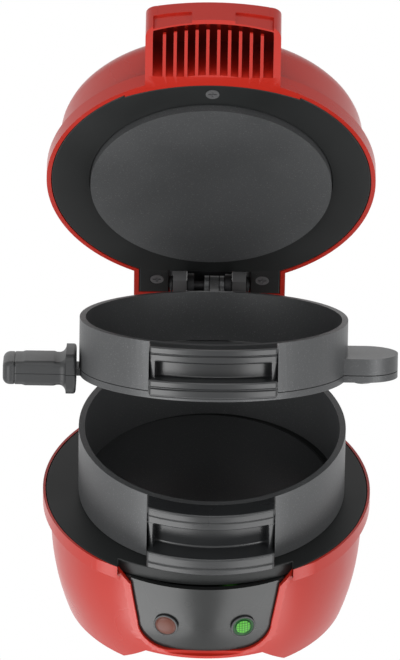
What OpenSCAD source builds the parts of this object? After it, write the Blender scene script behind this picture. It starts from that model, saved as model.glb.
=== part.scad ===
// Breakfast sandwich maker: heated base, two hinged rings with a swivelling cooking plate, heated lid.
// Millimetres. X runs along the hinge, -Y is the front, Z is up and the feet stand on z = 0.

/* [Base] */
// Height of the black deck above the table
deck_h = 52.5; // [50:0.5:60]
// Outer radius of the red rims of the base and the lid
rim_r = 67.6; // [67.3:0.1:69]
// Height of a red rim
rim_h = 6; // [5:0.5:7]
// How far the base body is set in under its rim
rim_step = 3.3; // [2.5:0.1:4]
// How much narrower the base is at the table than under the rim
base_taper = 6.3; // [4:0.1:7]
// Wall of the plastic housings
wall = 2.4; // [2:0.1:2.8]
// Clear height of the arches between the legs
arch_h = 9.8; // [8:0.1:10]
// Width of an arch at its top
arch_top_w = 48; // [40:1:52]
// Width of an arch at the table
arch_foot_w = 66; // [58:1:68]
// Radius of a rubber foot
foot_r = 5.5; // [4:0.1:6]
// How far the rubber feet stand out of the base
foot_out = 1; // [0.6:0.1:1.5]
// Direction of the feet from the middle, in degrees off the hinge's direction
foot_angle = 35.7; // [34:0.1:38]

/* [Deck and heating plates] */
// How far the black deck lies in from the red rim's edge
deck_inset = 1.3; // [1.2:0.1:2]
// How far the lid's face plate lies in from the red rim's edge
face_inset = 2.1; // [1.6:0.1:2.4]
// Thickness of the deck
deck_t = 2; // [1.6:0.1:2.4]
// Half width of the flatter front edge of deck and face plate
flat_half = 36; // [34:0.5:37]
// How far forward the deck's front edge comes
deck_front = 59.7; // [59.5:0.1:61]
// Radius of the deck's front edge
deck_front_r = 71.7; // [70:0.1:80]
// Radius of the lower heating plate
lower_plate_r = 51.5; // [50:0.1:51.8]
// Radius of the upper heating plate, which dips into the top ring
upper_plate_r = 49.5; // [48:0.1:49.7]
// How far the upper heating plate stands out of the lid
upper_plate_dip = 3; // [2:0.1:4]
// Thickness of the heating plates
heat_plate_t = 4; // [3.5:0.1:5]
// Radius of the circle that the heating elements follow
element_r = 34; // [32:0.5:35]
// Radius of a heating element's tube
element_tube_r = 3.3; // [3:0.1:3.5]

/* [Rings] */
// Outer radius of both rings
ring_r = 55; // [54.8:0.1:55.2]
// Wall of both rings
ring_wall = 2.5; // [2.2:0.1:2.6]
// Height of the bottom ring
bottom_ring_h = 31; // [30:0.1:34]
// Height of the top ring
top_ring_h = 20.4; // [20:0.1:23]
// Thickness of the cooking plate between the rings
cooking_plate_t = 2.7; // [2.4:0.1:3]
// Side play of the ring assembly on the hinge pin, taken up to the right
ring_play = 2; // [0:0.1:2]

/* [Hinge] */
// Distance of the hinge axis behind the middle of the rings
hinge_y = 68; // [67.8:0.1:69]
// How far the hinge axis lies below the lid's face
hinge_drop = 0.8; // [0.5:0.1:1.2]
// Radius of the hinge pin
pin_r = 2; // [1.8:0.05:2.2]
// Radius of the ring and lid knuckles
knuckle_r = 4.2; // [4:0.1:4.4]
// How far the top ring is raised, in degrees
top_ring_angle = 23.3; // [0:0.1:40]
// How far the lid is raised, in degrees
lid_angle = 73.1; // [60:0.1:95]

/* [Lid] */
// Height of the lid above its face
lid_h = 32; // [31:0.5:36]
// How far the lid's side wall is set in from its rim
lid_step = 5.3; // [4.5:0.1:5.6]
// Rounding of the lid's top edge
lid_corner_r = 8.5; // [6:0.5:9]
// How far forward the face plate's front edge comes
face_front = 62; // [61.5:0.1:62.5]
// Radius of the face plate's front edge
face_front_r = 82; // [78:1:90]
// Thickness of the lid's face plate
face_t = 1.5; // [1.3:0.1:2]
// Width of the lid's neck at the hinge
neck_w = 62.8; // [60:0.2:64]
// How far the neck runs behind the hinge axis
neck_back = 8; // [7:0.1:8.5]
// Height of the neck above the lid's face
neck_h = 18; // [16:0.5:19]
// How far the lid handle reaches from the middle of the lid
handle_reach = 92.5; // [90:0.5:100]
// Width of the lid handle
handle_w = 55; // [52:0.5:56]
// Rounding of the lid handle's front corners
handle_corner_r = 5; // [4:0.5:6]
// Level of the lid handle's top
handle_top = 18.8; // [18:0.1:20]
// Level of the underside at the lid handle's tip
handle_tip_low = 9.6; // [8:0.1:10]
// Number of ribs under the lid handle
handle_ribs = 10; // [4:1:10]
// Spacing of the ribs under the lid handle
handle_rib_pitch = 4.4; // [4.2:0.1:4.6]

/* [Ring handles] */
// Width of both ring handles
grip_w = 52.4; // [50:0.2:55]
// Radius of a ring handle's upper lip
grip_top_r = 63; // [62:0.1:63.5]
// Radius of a ring handle's lower lip
grip_low_r = 67; // [66:0.1:68]
// Radius of the back wall in a ring handle's finger recess
grip_recess_r = 58; // [57.8:0.1:58.4]
// Height of the lips of the bottom ring's handle
bottom_lip_h = 7.5; // [7:0.1:7.5]
// Height of the lips of the top ring's handle
top_lip_h = 6.3; // [6:0.1:6.4]

/* [Cooking plate swivel] */
// Distance of the swivel from the middle of the rings
swivel_x = 61.3; // [61.3:0.1:62]
// Radius of the swivel stud
stud_r = 3; // [2.5:0.1:3.2]
// Half width and end radius of the swivel ears
ear_r = 13.5; // [12:0.1:14]
// Thickness of the top ring's swivel ear
ear_t = 6.8; // [6:0.1:7.5]
// Reach of the plate handle from the middle of the rings
plate_grip_tip = 86.1; // [84:0.1:90]
// Width of the plate handle
plate_grip_w = 24; // [22:0.5:25]
// Height of the plate handle
plate_grip_h = 9.6; // [9:0.1:10.5]
// Width of the guard at the plate handle's root
guard_w = 28; // [26:0.5:30]
// Height of the guard at the plate handle's root
guard_h = 16.5; // [14:0.1:18]
// Thickness of the guard
guard_t = 4.1; // [3.5:0.1:4.5]

/* [Control panel] */
// Half width of the panel at its top
panel_top_half = 30.4; // [28:0.1:31]
// Half width of the panel where its lower corners start
panel_low_half = 27; // [25:0.1:28]
// Height of the strip of housing between the arch and the panel
panel_border = 3.2; // [3:0.1:4]
// Rounding of the panel's lower corners
panel_corner_r = 12; // [10:0.5:13]
// How far the panel lies behind the housing's surface
panel_recess = 1.8; // [1:0.1:2]
// Thickness of the panel
panel_t = 2.4; // [2.2:0.1:2.6]
// Turn of the two indicator lights from the front, in degrees
lamp_angle = 14.7; // [13:0.1:16]
// Depth of the indicator lights below the deck
lamp_depth = 26; // [25.8:0.1:27]
// Radius of an indicator light's bezel
bezel_r = 5.15; // [4.6:0.05:5.3]
// Radius of an indicator lens
lens_r = 3.15; // [2.8:0.05:3.2]

/* [Hidden] */
$fn = 96;

// Clearances
run_gap = 0.3;      // between pieces that move past each other
seat_gap = 0.3;     // round a piece that drops into a pocket
fit_gap = 0.05;     // between a screw or pin and the hole it sits in
turn_gap = 0.06;    // between a hinge pin or stud and the part that turns on it
eps = 1;            // how far a cutting solid runs past a face

// Screws
screw_r = 1.45;
head_r = 2.8;
head_h = 1.8;
screw_hole = screw_r + fit_gap;
boss_r = 3.5;

// Levels of the stack above the deck, lid closed
plate_z = run_gap + bottom_ring_h + run_gap;
top_ring_z = plate_z + cooking_plate_t + run_gap;
stack_h = top_ring_z + top_ring_h + run_gap;
lid_z = deck_h + stack_h;
hinge_z = lid_z - hinge_drop;
hinge_up = stack_h - hinge_drop;   // hinge axis above the deck

// Base
body_top_r = rim_r - rim_step;
body_top_z = deck_h - rim_h - 1.5;
skirt_z = deck_h - rim_h;
curve_steps = 9;
function body_r(z) = body_top_r - base_taper * pow((body_top_z - z) / (body_top_z - foot_out), 2.4);
cover_z = arch_h + 0.7;
cover_t = 2;
cover_r = body_r(cover_z) - wall - seat_gap;
cup_r = foot_r + 1.3;
foot_in = 3;
foot_ring_r = body_r(foot_out) - wall - cup_r - 0.8;
foot_x = foot_ring_r * cos(foot_angle);
foot_y = foot_ring_r * sin(foot_angle);
vents = 5;
vent_pitch = 7;
vent_w = 2.4;
vent_half = 14;
shelf_t = 2.5;
shelf_z = deck_h - 18 - shelf_t;
shelf_out_r = body_r(shelf_z) - wall / 2;
base_boss_r = cover_r - boss_r - 4.6;
base_boss_angles = [60, 120, 240, 300];
base_boss_len = 14;
deck_r = rim_r - deck_inset;
notch_low_z = deck_h - 8.5;
notch_high_z = deck_h - 3;

// Tower at the back of the base, and the fork that it carries
tower_half = 19;
tower_front = 60.5;
tower_back = hinge_y + 7.4;
tower_top = hinge_z - 27;
post_half = 9.15;
post_front = hinge_y - 4.5;
post_back = tower_back - wall;
post_bottom = tower_top - 14;
fork_half = 6.4;
fork_depth = 12;
fork_r = 5;
post_screw_z = tower_top - 8;
shield_y = post_back - 0.4;
shield_t = 2.6;
shield_top = hinge_z + 4;

// Hinge leaves along the pin
bar_in = post_half + run_gap;
bar_out = 15.15;
clip_t = 0.8;
clip_r = pin_r + 1.6;
pin_half = bar_out + 0.2 + clip_t + 0.4;
leaf_out = fork_half - run_gap - ring_play;
leaf_in = leaf_out - 1.9;
top_leaf_half = leaf_in - run_gap;

// Lid
neck_half = neck_w / 2;
neck_wall = 2;
recess_half = 17;
recess_y = hinge_y - 8.4;
crown = 1.5;
face_r = rim_r - face_inset;
lid_wall_r = rim_r - lid_step;
lid_top_r = lid_wall_r - lid_corner_r;
lid_corner_z = lid_h - crown - lid_corner_r;
face_screw_front = -56.5;
face_screw_x = 21.9;
face_screw_y = hinge_y - 2.7;
wing_t = 2.6;
wing_half = 27;
bridge_front = hinge_y - 12;
bridge_back = hinge_y - 9.1;
bridge_top = 7.5;
bridge_wall_top = neck_h + 0.5;
handle_wall = 3;
handle_skin = 2.3;
handle_rib_t = 1.3;
handle_root_r = rim_r + 0.9;

// Heating plates, elements and reflectors, as depths behind a plate's back face
plate_flange_r = lower_plate_r + 3;
plate_flange_t = 2;
rib_h = 4;
rib_half = 4.5;
reflector_t = 0.8;
reflector_r = lower_plate_r - 3.5;
reflector_brim = 4;
plate_boss_r = reflector_r - reflector_t - boss_r - 0.7;
shelf_in_r = plate_boss_r - 5;
plate_boss_angles = [90, 210, 330];
plate_boss_h = 13.2;
element_span = 300;
lower_leg = 20;
upper_leg = 12.5;
leg_pin = 5;
disc_r = 8.5;
disc_h = 8;
fuse_r = 2;
fuse_len = 16;
fuse_y = -18;
wire_r = 1.2;

// Control panel and indicator lights
panel_top_z = skirt_z - run_gap;
panel_low_z = arch_h + panel_border;
lamp_z = deck_h - lamp_depth;
lamp_face_r = body_r(lamp_z) - panel_recess;
bezel_tube_r = bezel_r - 0.6;
bezel_flange_r = lamp_face_r + 0.5;
bezel_flange_t = 1;
lens_dome_r = 8;
lens_proud = 0.3;
lens_root_r = lamp_face_r - 6;
neon_r = 2.2;
neon_tip_r = lens_root_r - 0.4;
neon_len = 10;
holder_front = 15.7 - lamp_face_r;
holder_t = 2;
holder_half = 20;
holder_h = 9;

// Cord gland in the tower's back wall
gland_z = 22;
gland_w = 10;
gland_tall = 12;
gland_flange = 2.2;
gland_t = 2;
gland_bore_r = 3.3;

wire_low = cover_z + cover_t + 6;
leg_angle = 90 + (360 - element_span) / 2;
leg_x = element_r * cos(leg_angle);
leg_y = element_r * sin(leg_angle);
leg_low = deck_h - heat_plate_t - rib_h - lower_leg - leg_pin;
neon_end_x = (neon_tip_r - neon_len - 6) * sin(lamp_angle);
neon_end_y = -(neon_tip_r - neon_len - 6) * cos(lamp_angle);

// Ring handles
grip_end = 2.4;
bottom_chamfer = 4;
top_chamfer = 0.8;
lug_in = 9;
lug_out = 17;
lug_r = 62;
lug_h = 4;
bottom_lug_up = 4;
top_lug_up = 3;
grip_screw_x = 13;
grip_screw_y = 57;
grip_screw_sink = head_h + 0.4;

// Swivel and plate handle
ear_centre = swivel_x + 0.8;
stud_up = 4.5;
washer_t = 0.4;
nut_h = 2.2;
nut_r = 5;
parting_z = plate_z + cooking_plate_t / 2;
guard_x = ring_r + 1.1;
grip_root_x = guard_x + guard_t;
end_cap_len = 4.8;
grip_split_x = plate_grip_tip - end_cap_len;
grip_corner_r = 5;
tang_half = 8;
tang_tip = plate_grip_tip - 8;
tang_screw_x = [66, 75];

// The part stands with the middle of its box, lid and ring raised as shown, over the origin
back_reach = hinge_y + (lid_top_r - hinge_y) * cos(lid_angle)
    + (lid_corner_z + hinge_drop) * sin(lid_angle) + lid_corner_r;
home_x = (plate_grip_tip - ear_centre - ear_r) / 2 - ring_play;
home_y = (grip_low_r - back_reach) / 2;

// Colours
RED = [0.66, 0.11, 0.08];
BLACK = [0.06, 0.06, 0.065];
COATED = [0.13, 0.13, 0.135];
GREY = [0.36, 0.37, 0.37];
STEEL = [0.72, 0.72, 0.72];
ALU = [0.62, 0.63, 0.64];
RUBBER = [0.08, 0.08, 0.08];
CERAMIC = [0.85, 0.84, 0.80];

// Places

// Moves the natural frame, whose Z axis runs through the rings, to the part's own frame
module home() {
    translate([home_x, home_y, 0]) children();
}

// Turns what it holds up about the hinge pin
module raised(angle) {
    translate([0, hinge_y, hinge_z]) rotate([-angle, 0, 0]) translate([0, -hinge_y, -hinge_z])
        children();
}

// Frame of a ring: z = 0 on the deck, middle of the ring on the axis
module on_ring(angle) {
    home() raised(angle) translate([ring_play, 0, deck_h]) children();
}

// Frame of the lid: z = 0 on its face, +Z into the lid
module on_lid() {
    home() raised(lid_angle) translate([0, 0, lid_z]) children();
}

// Frame of the base: z = 0 on the table
module on_base() {
    home() children();
}

// Frame of one indicator light: +Z outward, z = distance from the ring axis
module at_lamp(side) {
    rotate([0, 0, side * lamp_angle]) translate([0, 0, lamp_z]) rotate([90, 0, 0]) children();
}

// Shapes

// Box from its lowest corner to its highest
module block(low, high) {
    translate(low) cube(high - low);
}

// Tube on the Z axis
module tube(outer, inner, z0, z1) {
    translate([0, 0, z0]) difference() {
        cylinder(r = outer, h = z1 - z0);
        translate([0, 0, -eps]) cylinder(r = inner, h = z1 - z0 + 2 * eps);
    }
}

// Upright cylinder between two levels
module rod(r, x, y, z0, z1) {
    translate([x, y, z0]) cylinder(r = r, h = z1 - z0, $fn = 48);
}

// Cylinder along X between two places on the hinge axis
module hinge_rod(r, x0, x1, y, z) {
    translate([x0, y, z]) rotate([0, 90, 0]) cylinder(r = r, h = x1 - x0, $fn = 64);
}

// Outline in the YZ plane, drawn as [y, z] points, as a plate from x0 to x1
module side_plate(points, x0, x1) {
    translate([x0, 0, 0]) rotate([90, 0, 90]) linear_extrude(x1 - x0) polygon(points);
}

// Disc whose front is cut to a flatter arc between two small steps
module flat_front_disc(r, front, front_r, h, grow) {
    intersection() {
        cylinder(r = r + grow, h = h);
        union() {
            translate([0, front_r - front, 0]) cylinder(r = front_r + grow, h = h);
            for (side = [-1, 1])
                translate([side * (flat_half - grow + r), 0, h / 2])
                    cube([2 * r, 4 * r, h], center = true);
        }
    }
}

// Wire or tube through a list of points, with round joints
module wire(points, r) {
    for (i = [0 : len(points) - 2]) {
        a = points[i];
        d = points[i + 1] - a;
        len_d = norm(d);
        translate(a) rotate([0, acos(d[2] / len_d), atan2(d[1], d[0])])
            cylinder(r = r, h = len_d, $fn = 16);
        if (i > 0) translate(a) sphere(r = 1.3 * r, $fn = 16);
    }
}

// Screw pointing up: its head's underside is at z = 0
module screw_up(length) {
    translate([0, 0, -head_h]) difference() {
        cylinder(r = head_r, h = head_h, $fn = 32);
        for (a = [0, 90])
            rotate([0, 0, a]) translate([0, 0, 0.5])
                cube([3.2, 0.7, 1.4], center = true);
    }
    cylinder(r = screw_r, h = length, $fn = 24);
}

// Countersunk screw pointing up: its head is flush with z = 0
module flush_screw(length) {
    difference() {
        union() {
            cylinder(r1 = head_r, r2 = screw_r, h = face_t, $fn = 32);
            cylinder(r = screw_r, h = length, $fn = 24);
        }
        for (a = [0, 90])
            rotate([0, 0, a]) cube([3.4, 0.7, 1.4], center = true);
    }
}

// Base

// Points of the base's side, from under the rim to the table, moved inwards by inset
function side_points(inset) = [
    for (i = [0 : curve_steps])
        let (z = body_top_z - (body_top_z - foot_out) * i / curve_steps) [body_r(z) - inset, z]
];

function reversed(list) = [for (i = [len(list) - 1 : -1 : 0]) list[i]];

// Notch in the housing's front, between the two red lobes and above the panel
module front_notch() {
    difference() {
        block([-flat_half, -rim_r - eps, body_top_z], [flat_half, -45, deck_h + eps]);
        cylinder(r = body_top_r, h = deck_h + 2 * eps);
    }
    translate([0, -45, 0]) rotate([90, 0, 0]) linear_extrude(rim_r) polygon([
        [-flat_half, deck_h + eps], [-flat_half, notch_high_z], [-panel_top_half - 0.6, notch_low_z],
        [panel_top_half + 0.6, notch_low_z], [flat_half, notch_high_z], [flat_half, deck_h + eps]]);
}

// Revolved layer of the base's side between two depths below its surface
module side_layer(outer_inset, inner_inset) {
    rotate_extrude() polygon(concat(
        [[body_top_r - inner_inset, deck_h], [body_top_r - outer_inset, deck_h]],
        side_points(outer_inset),
        reversed(side_points(inner_inset))));
}

// Outline of the control panel seen from the front, drawn as [x, z] points
function panel_outline(grow, top) = let (
    corner_z = panel_low_z + panel_corner_r,
    cx = panel_low_half - panel_corner_r,
    steps = 10,
    right = [for (i = [0 : steps]) let (a = 90 * i / steps)
        [cx + (panel_corner_r + grow) * cos(a), corner_z - (panel_corner_r + grow) * sin(a)]],
    left = [for (p = reversed(right)) [-p[0], p[1]]]
) concat([[panel_top_half + grow, top], [panel_top_half + grow, panel_top_z - 0.5]], right,
    left, [[-panel_top_half - grow, panel_top_z - 0.5], [-panel_top_half - grow, top]]);

module panel_prism(grow, top) {
    translate([0, -40, 0]) rotate([90, 0, 0]) linear_extrude(50)
        polygon(panel_outline(grow, top));
}

module base_shell() {
    rotate_extrude() polygon(concat(
        [[body_top_r - wall, deck_h], [rim_r, deck_h], [rim_r, skirt_z]],
        side_points(0),
        reversed(side_points(wall))));
}

module arch_cut(side) {
    rotate([0, 0, side > 0 ? 180 : 0]) translate([0, -25, 0]) rotate([90, 0, 0])
        linear_extrude(70) polygon([
            [-arch_foot_w / 2, -eps], [arch_foot_w / 2, -eps],
            [arch_foot_w / 2, foot_out], [arch_top_w / 2, arch_h],
            [-arch_top_w / 2, arch_h], [-arch_foot_w / 2, foot_out]]);
}

module base_housing() on_base() color(RED) difference() {
    union() {
        base_shell();
        difference() {
            tube(shelf_out_r, shelf_in_r, shelf_z, shelf_z + shelf_t);
            difference() {
                block([-rim_r, -rim_r, shelf_z - eps], [rim_r, holder_front + 2, shelf_z + shelf_t + eps]);
                cylinder(r = lamp_face_r - panel_t - 1, h = deck_h);
            }
        }
        for (a = base_boss_angles)
            rotate([0, 0, a]) rod(boss_r, base_boss_r, 0, cover_z + cover_t, shelf_z + eps / 2);
        block([-tower_half, tower_front, 0], [tower_half, tower_back, tower_top]);
    }
    translate([0, 0, skirt_z]) difference() {
        flat_front_disc(deck_r, deck_front, deck_front_r, rim_h + eps, seat_gap);
        block([-tower_half, tower_front, -eps], [tower_half, tower_back, rim_h + 2 * eps]);
    }
    front_notch();
    panel_prism(seat_gap, deck_h + eps);
    arch_cut(-1);
    arch_cut(1);
    block([-tower_half + wall, tower_front + wall, -eps],
        [tower_half - wall, post_back, tower_top - wall]);
    block([-tower_half + wall, 55, -eps], [tower_half - wall, tower_front + wall + eps, shelf_z - 2]);
    block([-post_half - fit_gap, post_front - fit_gap, tower_top - wall - eps],
        [post_half + fit_gap, post_back, tower_top + eps]);
    for (a = base_boss_angles)
        rotate([0, 0, a]) rod(screw_hole, base_boss_r, 0, cover_z, cover_z + cover_t + base_boss_len);
    for (a = plate_boss_angles)
        rotate([0, 0, a]) rod(screw_hole, plate_boss_r, 0, shelf_z - eps, shelf_z + shelf_t + eps);
    for (side = [-1, 1])
        translate([side * 5, tower_back + eps, post_screw_z]) rotate([90, 0, 0])
            cylinder(r = screw_hole, h = wall + 2 * eps, $fn = 24);
    block([-gland_w / 2 - fit_gap, post_back - eps, gland_z - gland_tall / 2 - fit_gap],
        [gland_w / 2 + fit_gap, tower_back + eps, gland_z + gland_tall / 2 + fit_gap]);
}

module bottom_cover() on_base() color(BLACK) difference() {
    union() {
        rod(cover_r, 0, 0, cover_z, cover_z + cover_t);
        block([-tower_half + wall + seat_gap, base_boss_r, cover_z],
            [tower_half - wall - seat_gap, post_back - seat_gap, cover_z + cover_t]);
        for (x = [-foot_x, foot_x], y = [-foot_y, foot_y])
            rod(cup_r, x, y, foot_out, cover_z + eps / 2);
    }
    for (x = [-foot_x, foot_x], y = [-foot_y, foot_y])
        rod(foot_r + fit_gap, x, y, 0, foot_out + foot_in);
    for (a = base_boss_angles)
        rotate([0, 0, a]) rod(screw_hole, base_boss_r, 0, cover_z - eps, cover_z + cover_t + eps);
    for (i = [0 : vents - 1])
        translate([0, (i - (vents - 1) / 2) * vent_pitch, cover_z + cover_t / 2])
            cube([2 * vent_half, vent_w, cover_t + 2 * eps], center = true);
}

module bottom_cover_screws() on_base() color(STEEL)
    for (a = base_boss_angles)
        rotate([0, 0, a]) translate([base_boss_r, 0, cover_z])
            screw_up(cover_t + base_boss_len - eps);

module rubber_feet() on_base() color(RUBBER)
    for (x = [-foot_x, foot_x], y = [-foot_y, foot_y])
        rod(foot_r, x, y, 0, foot_out + foot_in);

module base_deck() on_base() color(BLACK) difference() {
    translate([0, 0, skirt_z])
        flat_front_disc(deck_r, deck_front, deck_front_r, rim_h, 0);
    translate([0, 0, skirt_z - eps])
        flat_front_disc(deck_r, deck_front, deck_front_r, rim_h - deck_t + eps, -deck_t);
    cylinder(r = lower_plate_r + seat_gap, h = deck_h + eps);
    block([-tower_half - seat_gap, tower_front - seat_gap, 0],
        [tower_half + seat_gap, tower_back, deck_h + eps]);
}

// Heating plate seen with its cooking face at z = 0 and its back at z = t
module plate_back(t) {
    for (a = plate_boss_angles)
        rotate([0, 0, a]) rod(boss_r, plate_boss_r, 0, t - eps / 2, t + plate_boss_h);
    tube(element_r + rib_half, element_r - rib_half, t - eps / 2, t + rib_h);
}

module plate_back_cuts(t) {
    for (a = plate_boss_angles)
        rotate([0, 0, a]) rod(screw_hole, plate_boss_r, 0, t + 1, t + plate_boss_h + eps);
    translate([0, 0, t + rib_h]) rotate_extrude() translate([element_r, 0])
        circle(r = element_tube_r + fit_gap, $fn = 32);
}

// Tubular element with its tube's middle at z = 0 and its legs along +Z
module element(leg) {
    rotate([0, 0, leg_angle]) rotate_extrude(angle = element_span) translate([element_r, 0])
        circle(r = element_tube_r, $fn = 32);
    for (a = [leg_angle, leg_angle + element_span])
        rotate([0, 0, a]) translate([element_r, 0, 0]) {
            sphere(r = element_tube_r, $fn = 32);
            cylinder(r = element_tube_r, h = leg, $fn = 32);
            cylinder(r = 1, h = leg + leg_pin, $fn = 16);
        }
}

module element_leg_holes(z0, z1) {
    for (a = [leg_angle, leg_angle + element_span])
        rotate([0, 0, a]) rod(element_tube_r + run_gap, element_r, 0, z0, z1);
}

// Sheet dish behind a heating plate, from the plate's back at z = 0
module reflector_dish() {
    difference() {
        union() {
            tube(reflector_r, reflector_r - reflector_t, 0, plate_boss_h);
            rod(reflector_r, 0, 0, plate_boss_h, plate_boss_h + reflector_t);
        }
        for (a = plate_boss_angles)
            rotate([0, 0, a]) rod(screw_hole, plate_boss_r, 0, plate_boss_h - eps, plate_boss_h + 2);
        element_leg_holes(plate_boss_h - eps, plate_boss_h + 2);
        rod(disc_r + 2, 0, 0, plate_boss_h - eps, plate_boss_h + 2);
    }
}

// Lower heating pieces hang from the deck level, so their +Z points down
module under_deck(z) {
    on_base() translate([0, 0, z]) mirror([0, 0, 1]) children();
}

module lower_heating_plate() under_deck(deck_h) color(COATED) difference() {
    union() {
        rod(lower_plate_r, 0, 0, 0, heat_plate_t);
        rod(plate_flange_r, 0, 0, deck_t, heat_plate_t);
        plate_back(heat_plate_t);
    }
    plate_back_cuts(heat_plate_t);
}

module lower_heating_element() under_deck(deck_h - heat_plate_t - rib_h) color(ALU)
    element(lower_leg);

module lower_reflector() under_deck(deck_h - heat_plate_t) color(STEEL)
    reflector_dish();

module lower_plate_screws() on_base() color(STEEL)
    for (a = plate_boss_angles)
        rotate([0, 0, a]) translate([plate_boss_r, 0, shelf_z]) screw_up(shelf_t + plate_boss_h - 3);

module thermostat() under_deck(deck_h - heat_plate_t) color(CERAMIC) {
    rod(disc_r, 0, 0, 0, disc_h);
    for (x = [-5, 5])
        block([x - 2, -0.5, disc_h - eps / 2], [x + 2, 0.5, disc_h + 6]);
}

// Thermal cut-out lying on a plate's back, which is at z = 0
module fuse() {
    translate([-fuse_len / 2, fuse_y, fuse_r + fit_gap]) rotate([0, 90, 0])
        cylinder(r = fuse_r, h = fuse_len, $fn = 24);
    for (side = [-1, 1])
        translate([side * fuse_len / 2, fuse_y, fuse_r + fit_gap]) rotate([0, side * 90, 0])
            cylinder(r = 0.6, h = 4, $fn = 16);
}

module lower_thermal_fuse() under_deck(deck_h - heat_plate_t) color(CERAMIC)
    fuse();

module control_panel() on_base() color(GREY) {
    difference() {
        union() {
            intersection() {
                side_layer(panel_recess, panel_recess + panel_t);
                panel_prism(0, panel_top_z);
            }
            intersection() {
                side_layer(wall + fit_gap, panel_recess + panel_t);
                panel_prism(2, panel_top_z);
                block([-rim_r, -rim_r, cover_z + cover_t + run_gap], [rim_r, 0, deck_h]);
            }
            block([-3, -(lamp_face_r - panel_t / 2), lamp_z - 3], [3, holder_front, lamp_z + 3]);
        }
        for (side = [-1, 1])
            at_lamp(side) translate([0, 0, lamp_face_r - 12])
                cylinder(r = bezel_tube_r + fit_gap, h = 20, $fn = 48);
        translate([0, holder_front + eps, lamp_z]) rotate([90, 0, 0])
            cylinder(r = screw_hole, h = 9, $fn = 24);
    }
}

module lamp_bezels() on_base() color(BLACK)
    for (side = [-1, 1])
        at_lamp(side) {
            tube(bezel_tube_r, lens_r + fit_gap, lens_root_r + 1.5, bezel_flange_r + eps / 2);
            tube(bezel_r, lens_r + fit_gap, bezel_flange_r, bezel_flange_r + bezel_flange_t);
        }

// Indicator lens: a rod with a domed front and a collar behind the bezel
module lens(side) {
    at_lamp(side) {
        intersection() {
            rod(lens_r, 0, 0, lens_root_r, bezel_flange_r + 6);
            translate([0, 0, bezel_flange_r + bezel_flange_t + lens_proud - lens_dome_r])
                sphere(r = lens_dome_r, $fn = 64);
        }
        rod(lens_r, 0, 0, lens_root_r, bezel_flange_r);
        rod(bezel_tube_r, 0, 0, lens_root_r, lens_root_r + 1.5);
    }
}

module power_lens() on_base() color([0.45, 0.12, 0.08]) lens(-1);

module preheat_lens() on_base() color([0.10, 0.75, 0.15]) lens(1);

module neon_lamps() on_base() color([0.9, 0.75, 0.6])
    for (side = [-1, 1])
        at_lamp(side) {
            rod(neon_r, 0, 0, neon_tip_r - neon_len, neon_tip_r - neon_r);
            translate([0, 0, neon_tip_r - neon_r]) sphere(r = neon_r, $fn = 32);
            for (x = [-0.9, 0.9])
                rod(0.4, x, 0, neon_tip_r - neon_len - 6, neon_tip_r - neon_len);
        }

module lamp_holder() on_base() color(BLACK) difference() {
    union() {
        block([-holder_half, holder_front, lamp_z - holder_h / 2],
            [holder_half, holder_front + holder_t, lamp_z + holder_h / 2]);
        for (side = [-1, 1])
            at_lamp(side)
                rod(neon_r + 1.3, 0, 0, -holder_front - 0.5, neon_tip_r - neon_r - 1);
    }
    for (side = [-1, 1])
        at_lamp(side) rod(neon_r + fit_gap, 0, 0, -holder_front - 6, neon_tip_r);
    translate([0, holder_front + holder_t + eps, lamp_z]) rotate([90, 0, 0])
        cylinder(r = screw_hole, h = holder_t + 2 * eps, $fn = 24);
}

module lamp_holder_screw() on_base() color(STEEL)
    translate([0, holder_front + holder_t, lamp_z]) rotate([90, 0, 0]) screw_up(holder_t + 6);

module terminal_block() on_base() color(CERAMIC) difference() {
    block([-12, 36, cover_z + cover_t], [12, 46, cover_z + cover_t + 10]);
    for (x = [-7, 0, 7])
        translate([x, 47, cover_z + cover_t + 6]) rotate([90, 0, 0])
            cylinder(r = wire_r + 0.3, h = 12, $fn = 24);
}

module supply_wiring() on_base() color([0.75, 0.72, 0.62]) {
    wire([[-7, 38, wire_low], [-7, 31.5, wire_low], [leg_x, leg_y, leg_low - wire_r - 0.1]], wire_r);
    wire([[7, 38, wire_low], [7, 8, wire_low],
        [5, 0, deck_h - heat_plate_t - disc_h - 6 - wire_r]], wire_r);
}

module lamp_wiring() on_base() color([0.75, 0.72, 0.62]) {
    wire([[0, 38, wire_low], [-6, -30, wire_low], [-neon_end_x, neon_end_y, lamp_z - 1.6]], wire_r);
    wire([[-leg_x, leg_y, leg_low - wire_r - 0.1], [14, -30, wire_low],
        [neon_end_x, neon_end_y, lamp_z - 1.6]], wire_r);
}

module cord_gland() on_base() color(RUBBER) difference() {
    union() {
        block([-gland_w / 2, post_back - gland_t, gland_z - gland_tall / 2],
            [gland_w / 2, tower_back + gland_t, gland_z + gland_tall / 2]);
        for (y = [post_back - gland_t, tower_back])
            block([-gland_w / 2 - gland_flange, y, gland_z - gland_tall / 2 - gland_flange],
                [gland_w / 2 + gland_flange, y + gland_t, gland_z + gland_tall / 2 + gland_flange]);
    }
    translate([0, tower_back + gland_t + eps, gland_z]) rotate([90, 0, 0])
        cylinder(r = gland_bore_r, h = wall + 2 * gland_t + 2 * eps);
}

// Hinge

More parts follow.
